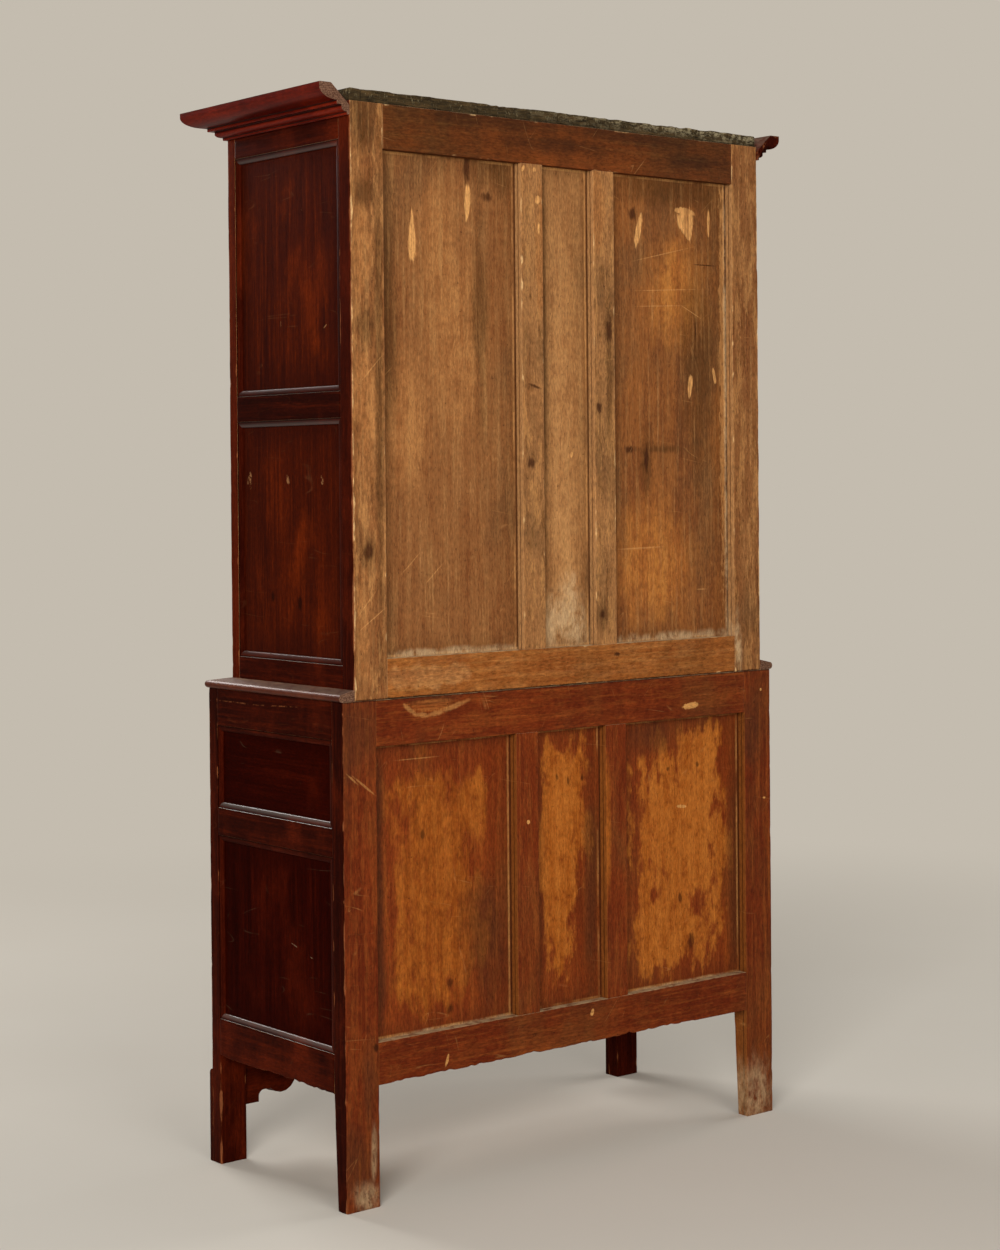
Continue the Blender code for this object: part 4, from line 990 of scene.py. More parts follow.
def board(name, low, high, grain_axis, looks, radius=PLAIN_ARRIS, chip=0.0, gap=0.04, span=0.05,
          holds=(END_HOLD,)):
    """A board between two corners, as one part of a piece.

    Point (i, j) is at station i along the grain and step j round a rectangle whose corners are arcs. radius
    is one number, or four for the corners (+a -b), (+a +b), (-a +b), (-a -b), where a and b are the next two
    axes after the grain. looks names the finish of a side, such as +x, or of all the others.
    """
    low, high = np.array(low, float), np.array(high, float)
    a, b = (grain_axis + 1) % 3, (grain_axis + 2) % 3
    middle, half = (low + high) / 2, (high - low) / 2
    ease = min(np.min(radius), half[a] * 0.5, half[b] * 0.5)
    length = 2 * half[grain_axis]
    s, inset = stations(length, ease, gap, holds)
    radii = worn_radii(seed_of(name), s, radius, chip, 0.45 * min(half[a], half[b]))
    across, lift, rubbed, sides = outline(half[[a, b]], inset, radii, span, holds)
    points = np.empty((*across.shape, 3))
    points[..., grain_axis] = (low[grain_axis] + s)[:, None]
    points[..., a] = middle[a] + across
    points[..., b] = middle[b] + lift
    at_end = np.clip(1.0 - np.minimum(s, length - s) / holds[0], 0.0, 1.0)
    rubbed = np.maximum(rubbed, 0.5 * at_end[:, None])
    wide, thin = (a, b) if half[a] >= half[b] else (b, a)
    grain = (points - middle)[..., [grain_axis, wide, thin]] + cut_from(name)
    labels = [sign + "xyz"[axis] for sign in "+-" for axis in (a, b)]
    facing = [labels[k] for k in sides] + [sign + "xyz"[grain_axis] for sign in "-+"]
    shown = [looks.get(side, looks[""]) for side in facing]
    return as_part(name, points, grain, rubbed, shown[:-2], shown[-2:])


print("board: a rounded rectangle carried along the grain")

# %% [markdown]
# ## Putting a piece together
# A framed piece has several boards. They become one mesh object, because the frame has one node for it, and
# the object then rides on the node's body and stands for the node. Every face takes the material of its own
# look. An edge that has splintered is made by moving the points near it.

# %% Piece
SHARP_ANGLE = math.radians(32.0)


def carry(mesh, label, values, domain="POINT"):
    """Gives a mesh an attribute: vectors where the values are rows of three, and plain numbers otherwise."""
    kind, field = ("FLOAT_VECTOR", "vector") if np.ndim(values) == 2 else ("FLOAT", "value")
    made = mesh.attributes.new(label, kind, domain)
    made.data.foreach_set(field, np.asarray(values, np.float32).ravel())


def placed(name, mesh, body, slot, node):
    """A mesh as an object that rides on a body and stands for a CAD node."""
    mesh.shade_smooth()
    mesh.set_sharp_from_angle(angle=SHARP_ANGLE)
    mesh.update()
    piece = linked(name, mesh)
    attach(piece, body)
    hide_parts(node)


def finished(name, parts, body, slot, node):
    """One object from parts: their points and faces, a material for each look, and their attributes."""
    starts = np.cumsum([0] + [len(part["points"]) for part in parts])
    faces = [[i + start for i in face] for part, start in zip(parts, starts) for face in part["faces"]]
    mesh = bpy.data.meshes.new(name)
    mesh.from_pydata(np.concatenate([part["points"] for part in parts]).tolist(), [], faces)
    looks = [look for part in parts for look in part["looks"]]
    order = sorted(set(looks))
    for look in order:
        mesh.materials.append(LOOKS[look])
    mesh.polygons.foreach_set("material_index", [order.index(look) for look in looks])
    for label in ("grain", "arris", "rim", "shade"):
        carry(mesh, label, np.concatenate([part[label] for part in parts]))
    placed(name, mesh, body, slot, node)


print("a piece: parts joined into one object")

# %% Splintered edge
BITES = ((0.6, 1), (0.45, 4), (0.3, 11))


def eaten(part, axis, edge, depth, run_axis, pitch, seed, reach=0.016):
    """Moves the points near one edge of a part inwards by a wandering amount, as if splintered away.

    A point at the edge moves by the whole amount, and one that is `reach` away doesn't move.
    """
    points = part["points"]
    run = points[:, run_axis]
    bites = 0.15
    for n, (share, parts) in enumerate(BITES):
        bites = bites + share * drift(run, pitch / parts, seed + n)
    amount = depth * np.clip(bites, 0.0, 1.0)
    gap = points[:, axis] - edge
    inward = 1.0 if np.mean(gap) > 0 else -1.0
    points[:, axis] += inward * amount * np.clip(1.0 - np.abs(gap) / reach, 0.0, 1.0)


print("splinters:", len(BITES), "sizes of bite")

# %% [markdown]
# ## A moulded strip
# The cornice, the waist moulding and the ovolo round each panel are all strips: a section carried along a
# straight line, with each end cut square or to a mitre. At a mitre the strip's end slides along by as much
# as the section stands out, so one formula gives every length.

# %% Eased section
SHARP_CORNER = math.radians(35.0)


def eased_section(section, ease):
    """A section whose sharp corners are cut by a small chamfer.

    Returns the points and how rubbed each is: 1 on a corner that stands out, -1 in a hollow that holds dirt.
    """
    section = np.array(section, float)
    following = np.roll(section, -1, axis=0)
    before = section - np.roll(section, 1, axis=0)
    after = following - section
    run_in, run_out = np.linalg.norm(before, axis=1), np.linalg.norm(after, axis=1)
    cosine = np.sum(before * after, axis=1) / (run_in * run_out)
    cut = np.minimum(ease, 0.3 * np.minimum(run_in, run_out))
    turning = before[:, 0] * after[:, 1] - before[:, 1] * after[:, 0]
    handed = np.sign(np.sum(section[:, 0] * following[:, 1] - section[:, 1] * following[:, 0]))
    points, rubbed = [], []
    for i, corner in enumerate(section):
        if cosine[i] < math.cos(SHARP_CORNER):
            points += [corner - before[i] / run_in[i] * cut[i], corner + after[i] / run_out[i] * cut[i]]
            rubbed += [np.sign(turning[i]) * handed] * 2
        else:
            points.append(corner)
            rubbed.append(0.0)
    return np.array(points), np.array(rubbed)


print("sections: corners over", round(math.degrees(SHARP_CORNER)), "degrees are eased")

# %% Strip


def strip(name, section, origin, along, out, rise, length, look, mitres=(0.0, 0.0), ends=None, ease=0.0005,
          gap=0.05, behind=("", -1.0)):
    """A strip along one line, as one part.

    Point (i, j) is origin + along * t + out * o + rise * h, where (o, h) is section point j and t runs
    evenly from mitres[0] * o to length + mitres[1] * o. behind is the look of the faces below a height.
    """
    points, rubbed = eased_section(section, ease)
    along, out, rise = (np.array(v, float) for v in (along, out, rise))
    share = np.linspace(0.0, 1.0, max(2, round(length / gap)) + 1)[:, None]
    o, h = points[:, 0], points[:, 1]
    t = (mitres[0] * o) * (1 - share) + (length + mitres[1] * o) * share
    place = np.array(origin) + t[..., None] * along + (o[:, None] * out + h[:, None] * rise)[None]
    area = np.sum(o * np.roll(h, -1) - h * np.roll(o, -1))
    handed = np.dot(along, np.cross(out, rise))
    grain = np.stack([t, np.broadcast_to(o, t.shape), np.broadcast_to(h, t.shape)], -1) + cut_from(name)
    looks = np.where((h + np.roll(h, -1)) / 2 < behind[1], behind[0], look).tolist()
    return as_part(name, place, grain, rubbed, looks, ends or (look, look), flip=area * handed < 0)


print("a strip: a section carried along a line")

# %% [markdown]
# ## Framed work
# An end or a door is two upright members and some rails round one or more panels. Its sizes come from the
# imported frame: the node's box gives the outside, and each panel's box, less the tongue that sits in its
# groove, gives an opening. The mouldings take the strip next to each opening, so the boards stop short by
# that width.

# %% Openings and mouldings
AXES = np.eye(3)
TONGUE = 0.009
MOULDING_WIDTH, MOULDING_DEPTH, MOULDING_FILLET = 0.011, 0.0048, 0.0010
OPENING_AXES = {X: (Y, Z), Y: (X, Z)}


def ovolo(rim):
    """Section of the panel moulding: a fillet, a quarter round, and the edge down to the frame's back."""
    turn = np.linspace(0.0, np.pi / 2, 7)
    out = MOULDING_WIDTH * (1.0 - np.sin(turn))
    fall = MOULDING_FILLET + (MOULDING_DEPTH - MOULDING_FILLET) * (1.0 - np.cos(turn))
    return [(MOULDING_WIDTH, -rim), (MOULDING_WIDTH, 0.0), *zip(out, -fall), (0.0, -rim / 2), (0.0, -rim)]


def opening_of(panel, face_axis):
    """Sight size of a panel: (u low, u high, v low, v high)."""
    low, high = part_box(panel)
    u, v = OPENING_AXES[face_axis]
    return low[u] + TONGUE, high[u] - TONGUE, low[v] + TONGUE, high[v] - TONGUE


def moulded(name, n, opening, face_axis, face, sign, depth, look):
    """Strips along the four sides of opening n, mitred where they meet."""
    u, v = OPENING_AXES[face_axis]
    ul, uh, vl, vh = opening
    for side, along, out, at, length in (("bottom", u, -AXES[v], (ul, vl), uh - ul),
                                         ("top", u, AXES[v], (ul, vh), uh - ul),
                                         ("low", v, -AXES[u], (ul, vl), vh - vl),
                                         ("high", v, AXES[u], (uh, vl), vh - vl)):
        origin = at[0] * AXES[u] + at[1] * AXES[v] + face * AXES[face_axis]
        yield strip(f"{name} {side} {n}", ovolo(depth), origin, AXES[along], out, AXES[face_axis] * sign,
                    length, look, mitres=(-1.0, 1.0), behind=("inside", -depth / 2))


print("moulding:", MOULDING_WIDTH, "m wide")

# %% Frame around panels
RAIL_ARRIS, WEB_ARRIS, RAIL_HOLD = 0.0004, 0.0003, 0.014


def framed(name, face_axis, face, sign, openings, foot, depths, post_looks, rail_looks, moulding, wear):
    """Parts of a framed piece, as large as its node.

    face is where the show face lies on its axis, and sign is the way it looks. depths holds the thickness of
    the low post, the rails and the high post. wear holds the radii of the two posts, the step between their
    stations and the depth of their chips.
    """
    u, v = OPENING_AXES[face_axis]
    node_low, node_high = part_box(name)

    def member(label, us, vs, ds, axis, looks, **options):
        low, high = [0.0] * 3, [0.0] * 3
        low[u], high[u] = us
        low[v], high[v] = vs
        low[face_axis], high[face_axis] = sorted((face - sign * ds[0], face - sign * ds[1]))
        return board(f"{name} {label}", low, high, axis, looks, **options)

    left, right = openings[0][:2]
    outer_left, outer_right = left - MOULDING_WIDTH, right + MOULDING_WIDTH
    upright, top = (node_low[v], node_high[v]), node_high[v]
    low_depth, rail_depth, high_depth = depths
    low_radius, high_radius, gap, chip = wear
    parts = [member("low post", (node_low[u], outer_left), upright, (0.0, low_depth), v, post_looks[0],
                    radius=low_radius, gap=gap, chip=chip),
             member("high post", (outer_right, node_high[u]), upright, (0.0, high_depth), v, post_looks[1],
                    radius=high_radius, gap=gap, chip=chip)]
    for label, us, depth in (("low", (outer_left, left), low_depth),
                             ("high", (right, outer_right), high_depth)):
        if depth > rail_depth:
            parts.append(member(f"{label} web", us, (foot, top), (rail_depth, depth), v, rail_looks,
                                radius=WEB_ARRIS))
    sills = [level for o in openings for level in (o[2] - MOULDING_WIDTH, o[3] + MOULDING_WIDTH)]
    levels = [foot, *sills, top]
    for k in range(0, len(levels), 2):
        parts.append(member(f"rail {k}", (outer_left, outer_right), levels[k:k + 2], (0.0, rail_depth), u,
                            rail_looks, radius=RAIL_ARRIS, gap=gap, holds=(END_HOLD, RAIL_HOLD)))
    for n, opening in enumerate(openings):
        parts += moulded(name, n, opening, face_axis, face, sign, rail_depth, moulding)
    return parts


print("framed work: posts, rails and mitred mouldings")

# %% [markdown]
# ## Ends of the two carcases
# Each end shows polish on its outer side, but the back of its rear post is bare, and the post's outer back
# corner is the most rubbed edge of all. In the base the posts run down as legs: the rear ones taper on
# their inner edge below the rail. Bearers on the inside carry the floors and shelves.

# %% Ends
RAIL_DEPTH, FRONT_POST, BACK_POST = 0.026, 0.057, 0.072
LEG_HEIGHT, TOE_TAPER = 0.205, 0.013
BEARER_WIDTH, BEARER_HEIGHT = 0.020, 0.022
FRONT_ARRIS = 0.0014
BACK_ARRIS = {"upper": 0.0022, "base": 0.0012}
END_STEP, END_CHIP = 0.008, 0.0022
RAGGED_RAIL, RAIL_PITCH = 0.004, 0.06
END_SIGNS = {"left": -1, "right": 1}
OUTER = {"left": "-x", "right": "+x"}


def tapered_toe(part, inner):
    """Slides a leg's inner edge towards the back below the rail: most at the floor, nothing at the rail."""
    points = part["points"]
    share = np.clip(1.0 - points[:, Z] / LEG_HEIGHT, 0.0, 1.0)
    near = np.clip((BACK_Y - points[:, Y]) / (BACK_Y - inner), 0.0, 1.0)
    points[:, Y] += TOE_TAPER * share * near


def end_frame(level, spot, raw, hidden, moulding, foot, shelves):
    """One end's posts, rails, mouldings and bearers, in place of its node."""
    node = f"{level}_{spot}_end_frame"
    sign, outer = END_SIGNS[spot], OUTER[spot]
    low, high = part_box(node)
    face = high[X] if sign > 0 else low[X]
    openings = [opening_of(f"{level}_{spot}_end_panel_{row}", X) for row in ("lower", "upper")]
    front_radii, back_radii = [PLAIN_ARRIS] * 4, [PLAIN_ARRIS] * 4
    front_radii[0 if sign > 0 else 3] = FRONT_ARRIS
    back_radii[1 if sign > 0 else 2] = BACK_ARRIS[level]
    parts = framed(node, X, face, sign, openings, foot, (FRONT_POST, RAIL_DEPTH, BACK_POST),
                   ({outer: "polish", "-y": "polish", "": hidden}, {outer: "polish", "-y": hidden, "": raw}),
                   {outer: "polish", "": "inside"}, moulding, (front_radii, back_radii, END_STEP, END_CHIP))
    front, back = openings[0][:2]
    if level == "base":
        tapered_toe(parts[1], back)
        eaten(parts[4], Z, foot, RAGGED_RAIL, Y, RAIL_PITCH, seed_of(node))
    inner = face - sign * RAIL_DEPTH
    low_x, high_x = sorted((inner, inner - sign * BEARER_WIDTH))
    for n, shelf in enumerate(shelves):
        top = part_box(shelf)[0][Z]
        parts.append(board(f"{node} bearer {n}", (low_x, front, top - BEARER_HEIGHT), (high_x, back, top), Y,
                           {"": "inside"}))
    finished(f"{node}_timber", parts, "carcase", "polished", node)


for spot in END_SIGNS:
    end_frame("upper", spot, "raw_post", "inside", "moulding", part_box("upper_back_frame")[0][Z],
              ("upper_floor", "upper_shelf_1", "upper_shelf_2"))
    end_frame("base", spot, "stained_post", "polish", "base_moulding", LEG_HEIGHT,
              ("base_floor", "drawer_bed"))
print("ends: four frames")

# %% [markdown]
# ## Thin panels
# A panel is one thin board that is free to shrink in its grooves. The panels of the back show a pale line
# beside the frame, where shrinking has drawn unstained wood out of the groove, so each point also gets a
# `rim` value, its distances from the upright and the level edges of the opening. The finishes also use it to
# paint shade towards a panel's rim. The short panel at drawer height lies with its grain level.

# %% Panels
PANEL_ARRIS, PANEL_STEP = 0.0006, 0.03
PANEL_HOLDS = (TONGUE + 0.0005, TONGUE + 0.008, TONGUE + 0.03)


def thin_panel(node, face_axis, looks, grain_axis, slot):
    """A panel with a rim attribute, in place of its node."""
    part = board(node, *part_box(node), grain_axis, looks, radius=PANEL_ARRIS, gap=PANEL_STEP, span=PANEL_STEP,
                 holds=PANEL_HOLDS)
    ul, uh, vl, vh = opening_of(node, face_axis)
    us, vs = part["points"][:, OPENING_AXES[face_axis]].T
    part["rim"][:, 0] = np.minimum(us - ul, uh - us)
    part["rim"][:, 1] = np.minimum(vs - vl, vh - vs)
    part["arris"] = np.zeros(len(us))
    finished(f"{node}_board", [part], "carcase", slot, node)


for spot, area in (("left", "far"), ("middle", "middle"), ("right", "near")):
    thin_panel(f"upper_back_panel_{spot}", Y, {"+y": f"raw_{area}", "": "inside"}, Z, "upper_back")
    thin_panel(f"base_back_panel_{spot}", Y, {"+y": f"stained_{area}", "": "inside"}, Z, "base_back")
for spot, outer in OUTER.items():
    for level, row, grain_axis in (("upper", "lower", Z), ("base", "lower", Z), ("upper", "upper", Z),
                                   ("base", "upper", Y)):
        looks = {outer: f"polish_{level}_panel", "": "inside"}
        thin_panel(f"{level}_{spot}_end_panel_{row}", X, looks, grain_axis, "polished")
print("panels: fourteen thin boards")

# %% [markdown]
# ## Back frames
# Each back has a rail above and below and two muntins between. Their edges are square, and the lower edge
# of the bottom rail of the base is split and ragged, so its points are eaten back by a wandering amount.

# %% Back frames
BACK_CHIP, BACK_PITCH, BACK_HOLD = 0.0014, 0.11, 0.015
FINE_STEP, BACK_STEP = 0.004, 0.008


def back_frame(level, rail_look, muntin_look, slot, ragged):
    """Rails and muntins of one back, in place of its node."""
    node = f"{level}_back_frame"
    low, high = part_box(node)
    bays = [opening_of(f"{level}_back_panel_{spot}", Y) for spot in ("left", "middle", "right")]
    rail_top, top_foot = bays[0][2:]
    looks = {"-y": "inside", "": rail_look}
    options = {"radius": EASED_ARRIS, "chip": BACK_CHIP, "holds": (END_HOLD, BACK_HOLD)}
    parts = [board(f"{node} bottom", low, (high[X], high[Y], rail_top), X, looks, gap=FINE_STEP, **options),
             board(f"{node} top", (low[X], low[Y], top_foot), high, X, looks, gap=BACK_STEP, **options)]
    eaten(parts[0], Z, low[Z], ragged, X, BACK_PITCH, seed_of(node))
    for n in range(2):
        parts.append(board(f"{node} muntin {n}", (bays[n][1], low[Y], rail_top),
                           (bays[n + 1][0], high[Y], top_foot), Z, {**looks, "": muntin_look}, gap=BACK_STEP,
                           **options))
    finished(f"{node}_timber", parts, "carcase", slot, node)


back_frame("upper", "raw_rail", "raw_muntin", "upper_back", ragged=0.0020)
back_frame("base", "stained_frame", "stained_frame", "base_back", ragged=0.0045)
print("backs: two frames")

# %% [markdown]
# ## Top board and cornice
# The top board lies on the carcase behind the cornice. Its back edge is broken and black. The cornice is a
# sprung cove over stepped fillets: three mitred strips whose inner side leans back from the carcase, cut
# square at the back, where the right strip shows its end grain and the left one is polished.

# %% Top board
TOP_ARRIS, TOP_CHIP, TOP_STEP, TOP_HOLD = 0.002, 0.006, 0.006, 0.02
BACK_EDGE_LOSS, BACK_EDGE_PITCH = 0.006, 0.05
UPPER_EDGE_LOSS, UPPER_EDGE_PITCH = 0.003, 0.09
low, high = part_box("top_board")
part = board("top board", low, high, X, {"": "sooty_top"}, radius=TOP_ARRIS, chip=TOP_CHIP, gap=TOP_STEP,
             holds=(END_HOLD, TOP_HOLD))
eaten(part, Y, high[Y], BACK_EDGE_LOSS, X, BACK_EDGE_PITCH, seed_of("top back edge"))
eaten(part, Z, high[Z], UPPER_EDGE_LOSS, X, UPPER_EDGE_PITCH, seed_of("top upper edge"),
      reach=TOP_HOLD)
finished("top_board_timber", [part], "carcase", "dusty_top", "top_board")
print("top board:", round(high[X] - low[X], 4), "m long")

# %% Cornice
CORNICE_SEAT, CORNICE_TOP_WIDTH, CORNICE_TIP = 0.017, 0.025, 0.008
COVE_START, COVE_FOOT, FILLET, CORNICE_EASE = 0.027, 0.0235, 0.0050, 0.0008
OVOLO_START, OVOLO_WIDTH, OVOLO_HEIGHT = 0.006, 0.011, 0.007
CORNICE_CUTS = {"left": ((0.0, 1.0), ("polish", "cornice")), "right": ((0.0, 1.0), ("end_grain", "cornice")),
                "front": ((-1.0, 1.0), ("cornice", "cornice"))}


def three_sides(wall, front, foot):
    """Lines of a moulding round both ends and the front: name, origin, along, out, up and length."""
    for spot, sign in END_SIGNS.items():
        yield spot, (sign * wall, BACK_Y, foot), -AXES[Y], sign * AXES[X], AXES[Z], BACK_Y - front
    yield "front", (-wall, front, foot), AXES[X], -AXES[Y], AXES[Z], 2 * wall


def cornice_section(projection, height):
    """Section of the cornice as (out, up): ovolo, fillet, cove, tip and a back that slopes to the seat."""
    turn = np.linspace(0.0, np.pi / 2, 9)
    ovolo_top = FILLET + OVOLO_HEIGHT
    points = [(0.0, 0.0), (OVOLO_START, 0.0)]
    points += zip(OVOLO_START + OVOLO_WIDTH * np.sin(turn), ovolo_top - OVOLO_HEIGHT * np.cos(turn))
    points += [(OVOLO_START + OVOLO_WIDTH, ovolo_top + FILLET), (COVE_START, ovolo_top + FILLET)]
    turn = np.linspace(0.0, np.pi / 2, 13)
    cove_top = height - CORNICE_TIP
    points += zip(COVE_START + (projection - COVE_START) * np.sin(turn),
                  cove_top - (cove_top - COVE_FOOT) * np.cos(turn))
    return points + [(projection, height), (projection - CORNICE_TOP_WIDTH, height), (0.0, CORNICE_SEAT)]


wall, tip = (corner[X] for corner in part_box("cornice_right"))
low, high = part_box("cornice_front")
section = cornice_section(tip - wall, high[Z] - low[Z])
for spot, *line in three_sides(wall, high[Y], low[Z]):
    mitres, ends = CORNICE_CUTS[spot]
    part = strip(f"cornice {spot}", section, *line, "cornice", mitres=mitres, ends=ends,
                 ease=CORNICE_EASE)
    finished(f"cornice_{spot}_strip", [part], "carcase", "cornice", f"cornice_{spot}")
print("cornice: stands out", round(tip - wall, 4), "m")

# %% [markdown]
# ## Waist moulding
# A strip with a round nose sits on the base's top edge and hides the step between the carcases. On the real
# cupboard it is three strips with mitres, and the front one is wider than the end ones, so each has its own
# section.

# %% Waist moulding
NOSE_RADIUS, WAIST_GAP = 0.0070, 0.0003
low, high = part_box("waist_moulding")
upper_low, upper_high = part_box("upper_right_end_frame")
waist_wall, waist_front = upper_high[X] + WAIST_GAP, upper_low[Y] - WAIST_GAP
end_width, front_width = high[X] - waist_wall, waist_front - low[Y]


def nose_section(width, height):
    """A flat strip whose outer edge is a half round that leans back to the top."""
    turn = np.radians(np.linspace(-90.0, 80.0, 13))
    nose = zip(width - NOSE_RADIUS + NOSE_RADIUS * np.cos(turn), NOSE_RADIUS + NOSE_RADIUS * np.sin(turn))
    return [(0.0, 0.0), *nose, (0.0, height)]


WAIST_CUTS = dict.fromkeys(OUTER, (end_width, (0.0, front_width / end_width), ("end_grain", "waist")))
WAIST_CUTS["front"] = (front_width, (-end_width / front_width, end_width / front_width), ("waist", "waist"))
parts = []
for spot, *line in three_sides(waist_wall, waist_front, low[Z]):
    width, mitres, ends = WAIST_CUTS[spot]
    section = nose_section(width, high[Z] - low[Z])
    parts.append(strip(f"waist {spot}", section, *line, "waist", mitres=mitres, ends=ends))
finished("waist_strip", parts, "carcase", "polished", "waist_moulding")
print("waist: nose", NOSE_RADIUS, "m")

# %% [markdown]
# ## Doors
# The doors are framed like the ends, but their panels are raised and fielded: thin at the edge, with a
# slope up to a flat field. Such a panel is a profile carried round a rectangle, so each ring of points is
# the rectangle drawn in by one step of the profile.

# %% Doors
FIELD_MARGIN, FIELD_RISE, FIELD_STEP = 0.036, 0.0040, 0.0012
PANEL_RECESS, PANEL_THICKNESS = 0.0065, 0.008
SIDE_STEPS = 8
DOOR_WEAR = (0.0008, 0.0008, 0.03, 0.0008)


def fielded(node, face, body):
    """A raised panel: rings of a rectangle, each drawn in and raised by one step of the profile."""
    ul, uh, vl, vh = opening_of(node, Y)
    foot = PANEL_RECESS - FIELD_RISE
    profile = np.array([(-TONGUE, PANEL_RECESS + PANEL_THICKNESS, 0.0), (-TONGUE, PANEL_RECESS, 0.0),
                        (0.0003, PANEL_RECESS, 0.0), (FIELD_MARGIN - 0.0006, foot + FIELD_STEP, 0.4),
                        (FIELD_MARGIN, foot + FIELD_STEP - 0.0003, 1.0),
                        (FIELD_MARGIN + 0.0003, foot + 0.0003, 1.0), (FIELD_MARGIN + 0.0008, foot, 0.4)])
    inset, depth, rubbed = (column[:, None] for column in profile.T)
    share = np.linspace(0.0, 1.0, SIDE_STEPS + 1)[:-1]
    still = np.zeros(SIDE_STEPS)
    across = np.concatenate([share, still + 1, 1 - share, still])
    up = np.concatenate([still, share, still + 1, 1 - share])
    points = np.stack([ul + inset + (uh - ul - 2 * inset) * across, face + depth + 0 * across,
                       vl + inset + (vh - vl - 2 * inset) * up], -1)
    grain = (points - points.mean((0, 1)))[..., [Z, X, Y]] + cut_from(node, 0.03, 0.06)
    part = as_part(node, points, grain, rubbed, ["polish_upper_panel"] * len(up),
                   ("inside", "polish_upper_panel"))
    finished(f"{node}_board", [part], body, "polished", node)


for level, rows in (("upper", ("panel_lower", "panel_upper")), ("lower", ("panel",))):
    for spot in END_SIGNS:
        body = f"{level}_{spot}_door"
        node = f"{body}_frame"
        low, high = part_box(node)
        openings = [opening_of(f"{body}_{row}", Y) for row in rows]
        looks = {"+y": "inside", "": "polish"}
        parts = framed(node, Y, low[Y], -1, openings, low[Z], [high[Y] - low[Y]] * 3, (looks, looks), looks,
                       "moulding", DOOR_WEAR)
        finished(f"{node}_timber", parts, body, "polished", node)
        for row in rows:
            fielded(f"{body}_{row}", low[Y], body)
print("doors: four frames and six fielded panels")

# %% [markdown]
# ## Drawers
# A drawer is five boards: a polished front, two sides, a back and a bottom of plain pine. The sides are
# dovetailed into the ends of the front, so those ends take the look with the tails.

# %% Drawers
DRAWER_SIDE, DRAWER_BOTTOM, DRAWER_DROP = 0.011, 0.009, 0.012
FRONT_LOOKS = {"-y": "polish", "-x": "dovetailed", "+x": "dovetailed", "": "inside"}
for spot in END_SIGNS:
    node = f"{spot}_drawer"
    (x0, y0, z0), (x1, y1, z1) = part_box(node)
    left, right = x0 + DRAWER_SIDE, x1 - DRAWER_SIDE
    start, stop = y0 + DRAWER_FRONT, y1 - DRAWER_SIDE
    top = z1 - DRAWER_DROP
    plain = {"": "inside"}
    boxes = {"front": ((x0, y0, z0), (x1, start, z1), X, FRONT_LOOKS),
             "low side": ((x0, start, z0), (left, y1, top), Y, plain),
             "high side": ((right, start, z0), (x1, y1, top), Y, plain),
             "back": ((left, stop, z0), (right, y1, top), X, plain),
             "bottom": ((left, start, z0), (right, stop, z0 + DRAWER_BOTTOM), Y, plain)}
    parts = [board(f"{node} {label}", *box, radius=EASED_ARRIS) for label, box in boxes.items()]
    finished(f"{node}_box", parts, node, "polished", node)
print("drawers: two, of five boards each")

# %% [markdown]
# ## Knobs
# The knobs are turned from one piece of wood, so each is a profile carried round its own axis: a foot, a
# waist and a mushroom head.

# %% Knobs
KNOB_FOOT = [(0.0125, 0.0), (0.0125, 0.0026), (0.0118, 0.0034)]
NECK_RADIUS, NECK_FLARE = 0.0085, 0.0030
NECK_START, NECK_LENGTH, HEAD_START = 0.0040, 0.0103, 0.0146
KNOBS = {"upper_door_knob": "upper_right_door", "lower_door_knob": "lower_right_door",
         "left_drawer_knob": "left_drawer", "right_drawer_knob": "right_drawer"}


def knob(node, body):
    """A turned knob: the profile (radius, out) carried round an axis that points to the front."""
    low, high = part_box(node)
    x, z = (low[X] + high[X]) / 2, (low[Z] + high[Z]) / 2
    reach, head = high[Y] - low[Y], (high[X] - low[X]) / 2
    turn = np.radians(np.linspace(-55.0, 84.0, 15))
    rise = (np.sin(turn) - np.sin(turn[0])) / (np.sin(turn[-1]) - np.sin(turn[0]))
    waist = np.linspace(0.0, 1.0, 7)
    neck = NECK_RADIUS + NECK_FLARE * (2 * waist - 1) ** 2 * (1 - 0.6 * waist)
    foot_radius, foot_out = np.transpose(KNOB_FOOT)
    radius = np.concatenate([foot_radius, neck, head * np.cos(turn)])[:, None]
    out = np.concatenate([foot_out, NECK_START + NECK_LENGTH * waist,
                          HEAD_START + (reach - HEAD_START) * rise])
    round_turn = np.linspace(0.0, 2 * np.pi, 33)[:-1]
    points = np.stack([x + radius * np.cos(round_turn), (high[Y] - out)[:, None] + 0 * round_turn,
                       z + radius * np.sin(round_turn)], -1)
    grain = (points - points.mean((0, 1)))[..., [Y, X, Z]] + (seed_of(node) % 20, 0.0, 0.03)
    part = as_part(node, points, grain, 0.0, ["polish"] * len(round_turn), ["polish"] * 2)
    finished(f"{node}_turned", [part], body, "knob", node)


for node, body in KNOBS.items():
    knob(node, body)
print("knobs:", len(KNOBS))

# %% [markdown]
# ## Rails, boards, feet and hinges
# The plain front rails are boards again. The shelves and floors are notched round the posts and the bracket
# feet are cut to a curve, so they keep the shape that the frame already has: a copy is merged, its edges
# are eased with a Bevel modifier, and the eased strips, which the modifier gives a second material slot,
# are marked as arris.

# %% Eased copies
MERGE_GAP, FLAT_ANGLE = 1e-5, math.radians(1.0)
WOOD_EASE, HINGE_EASE = 0.0012, 0.0004


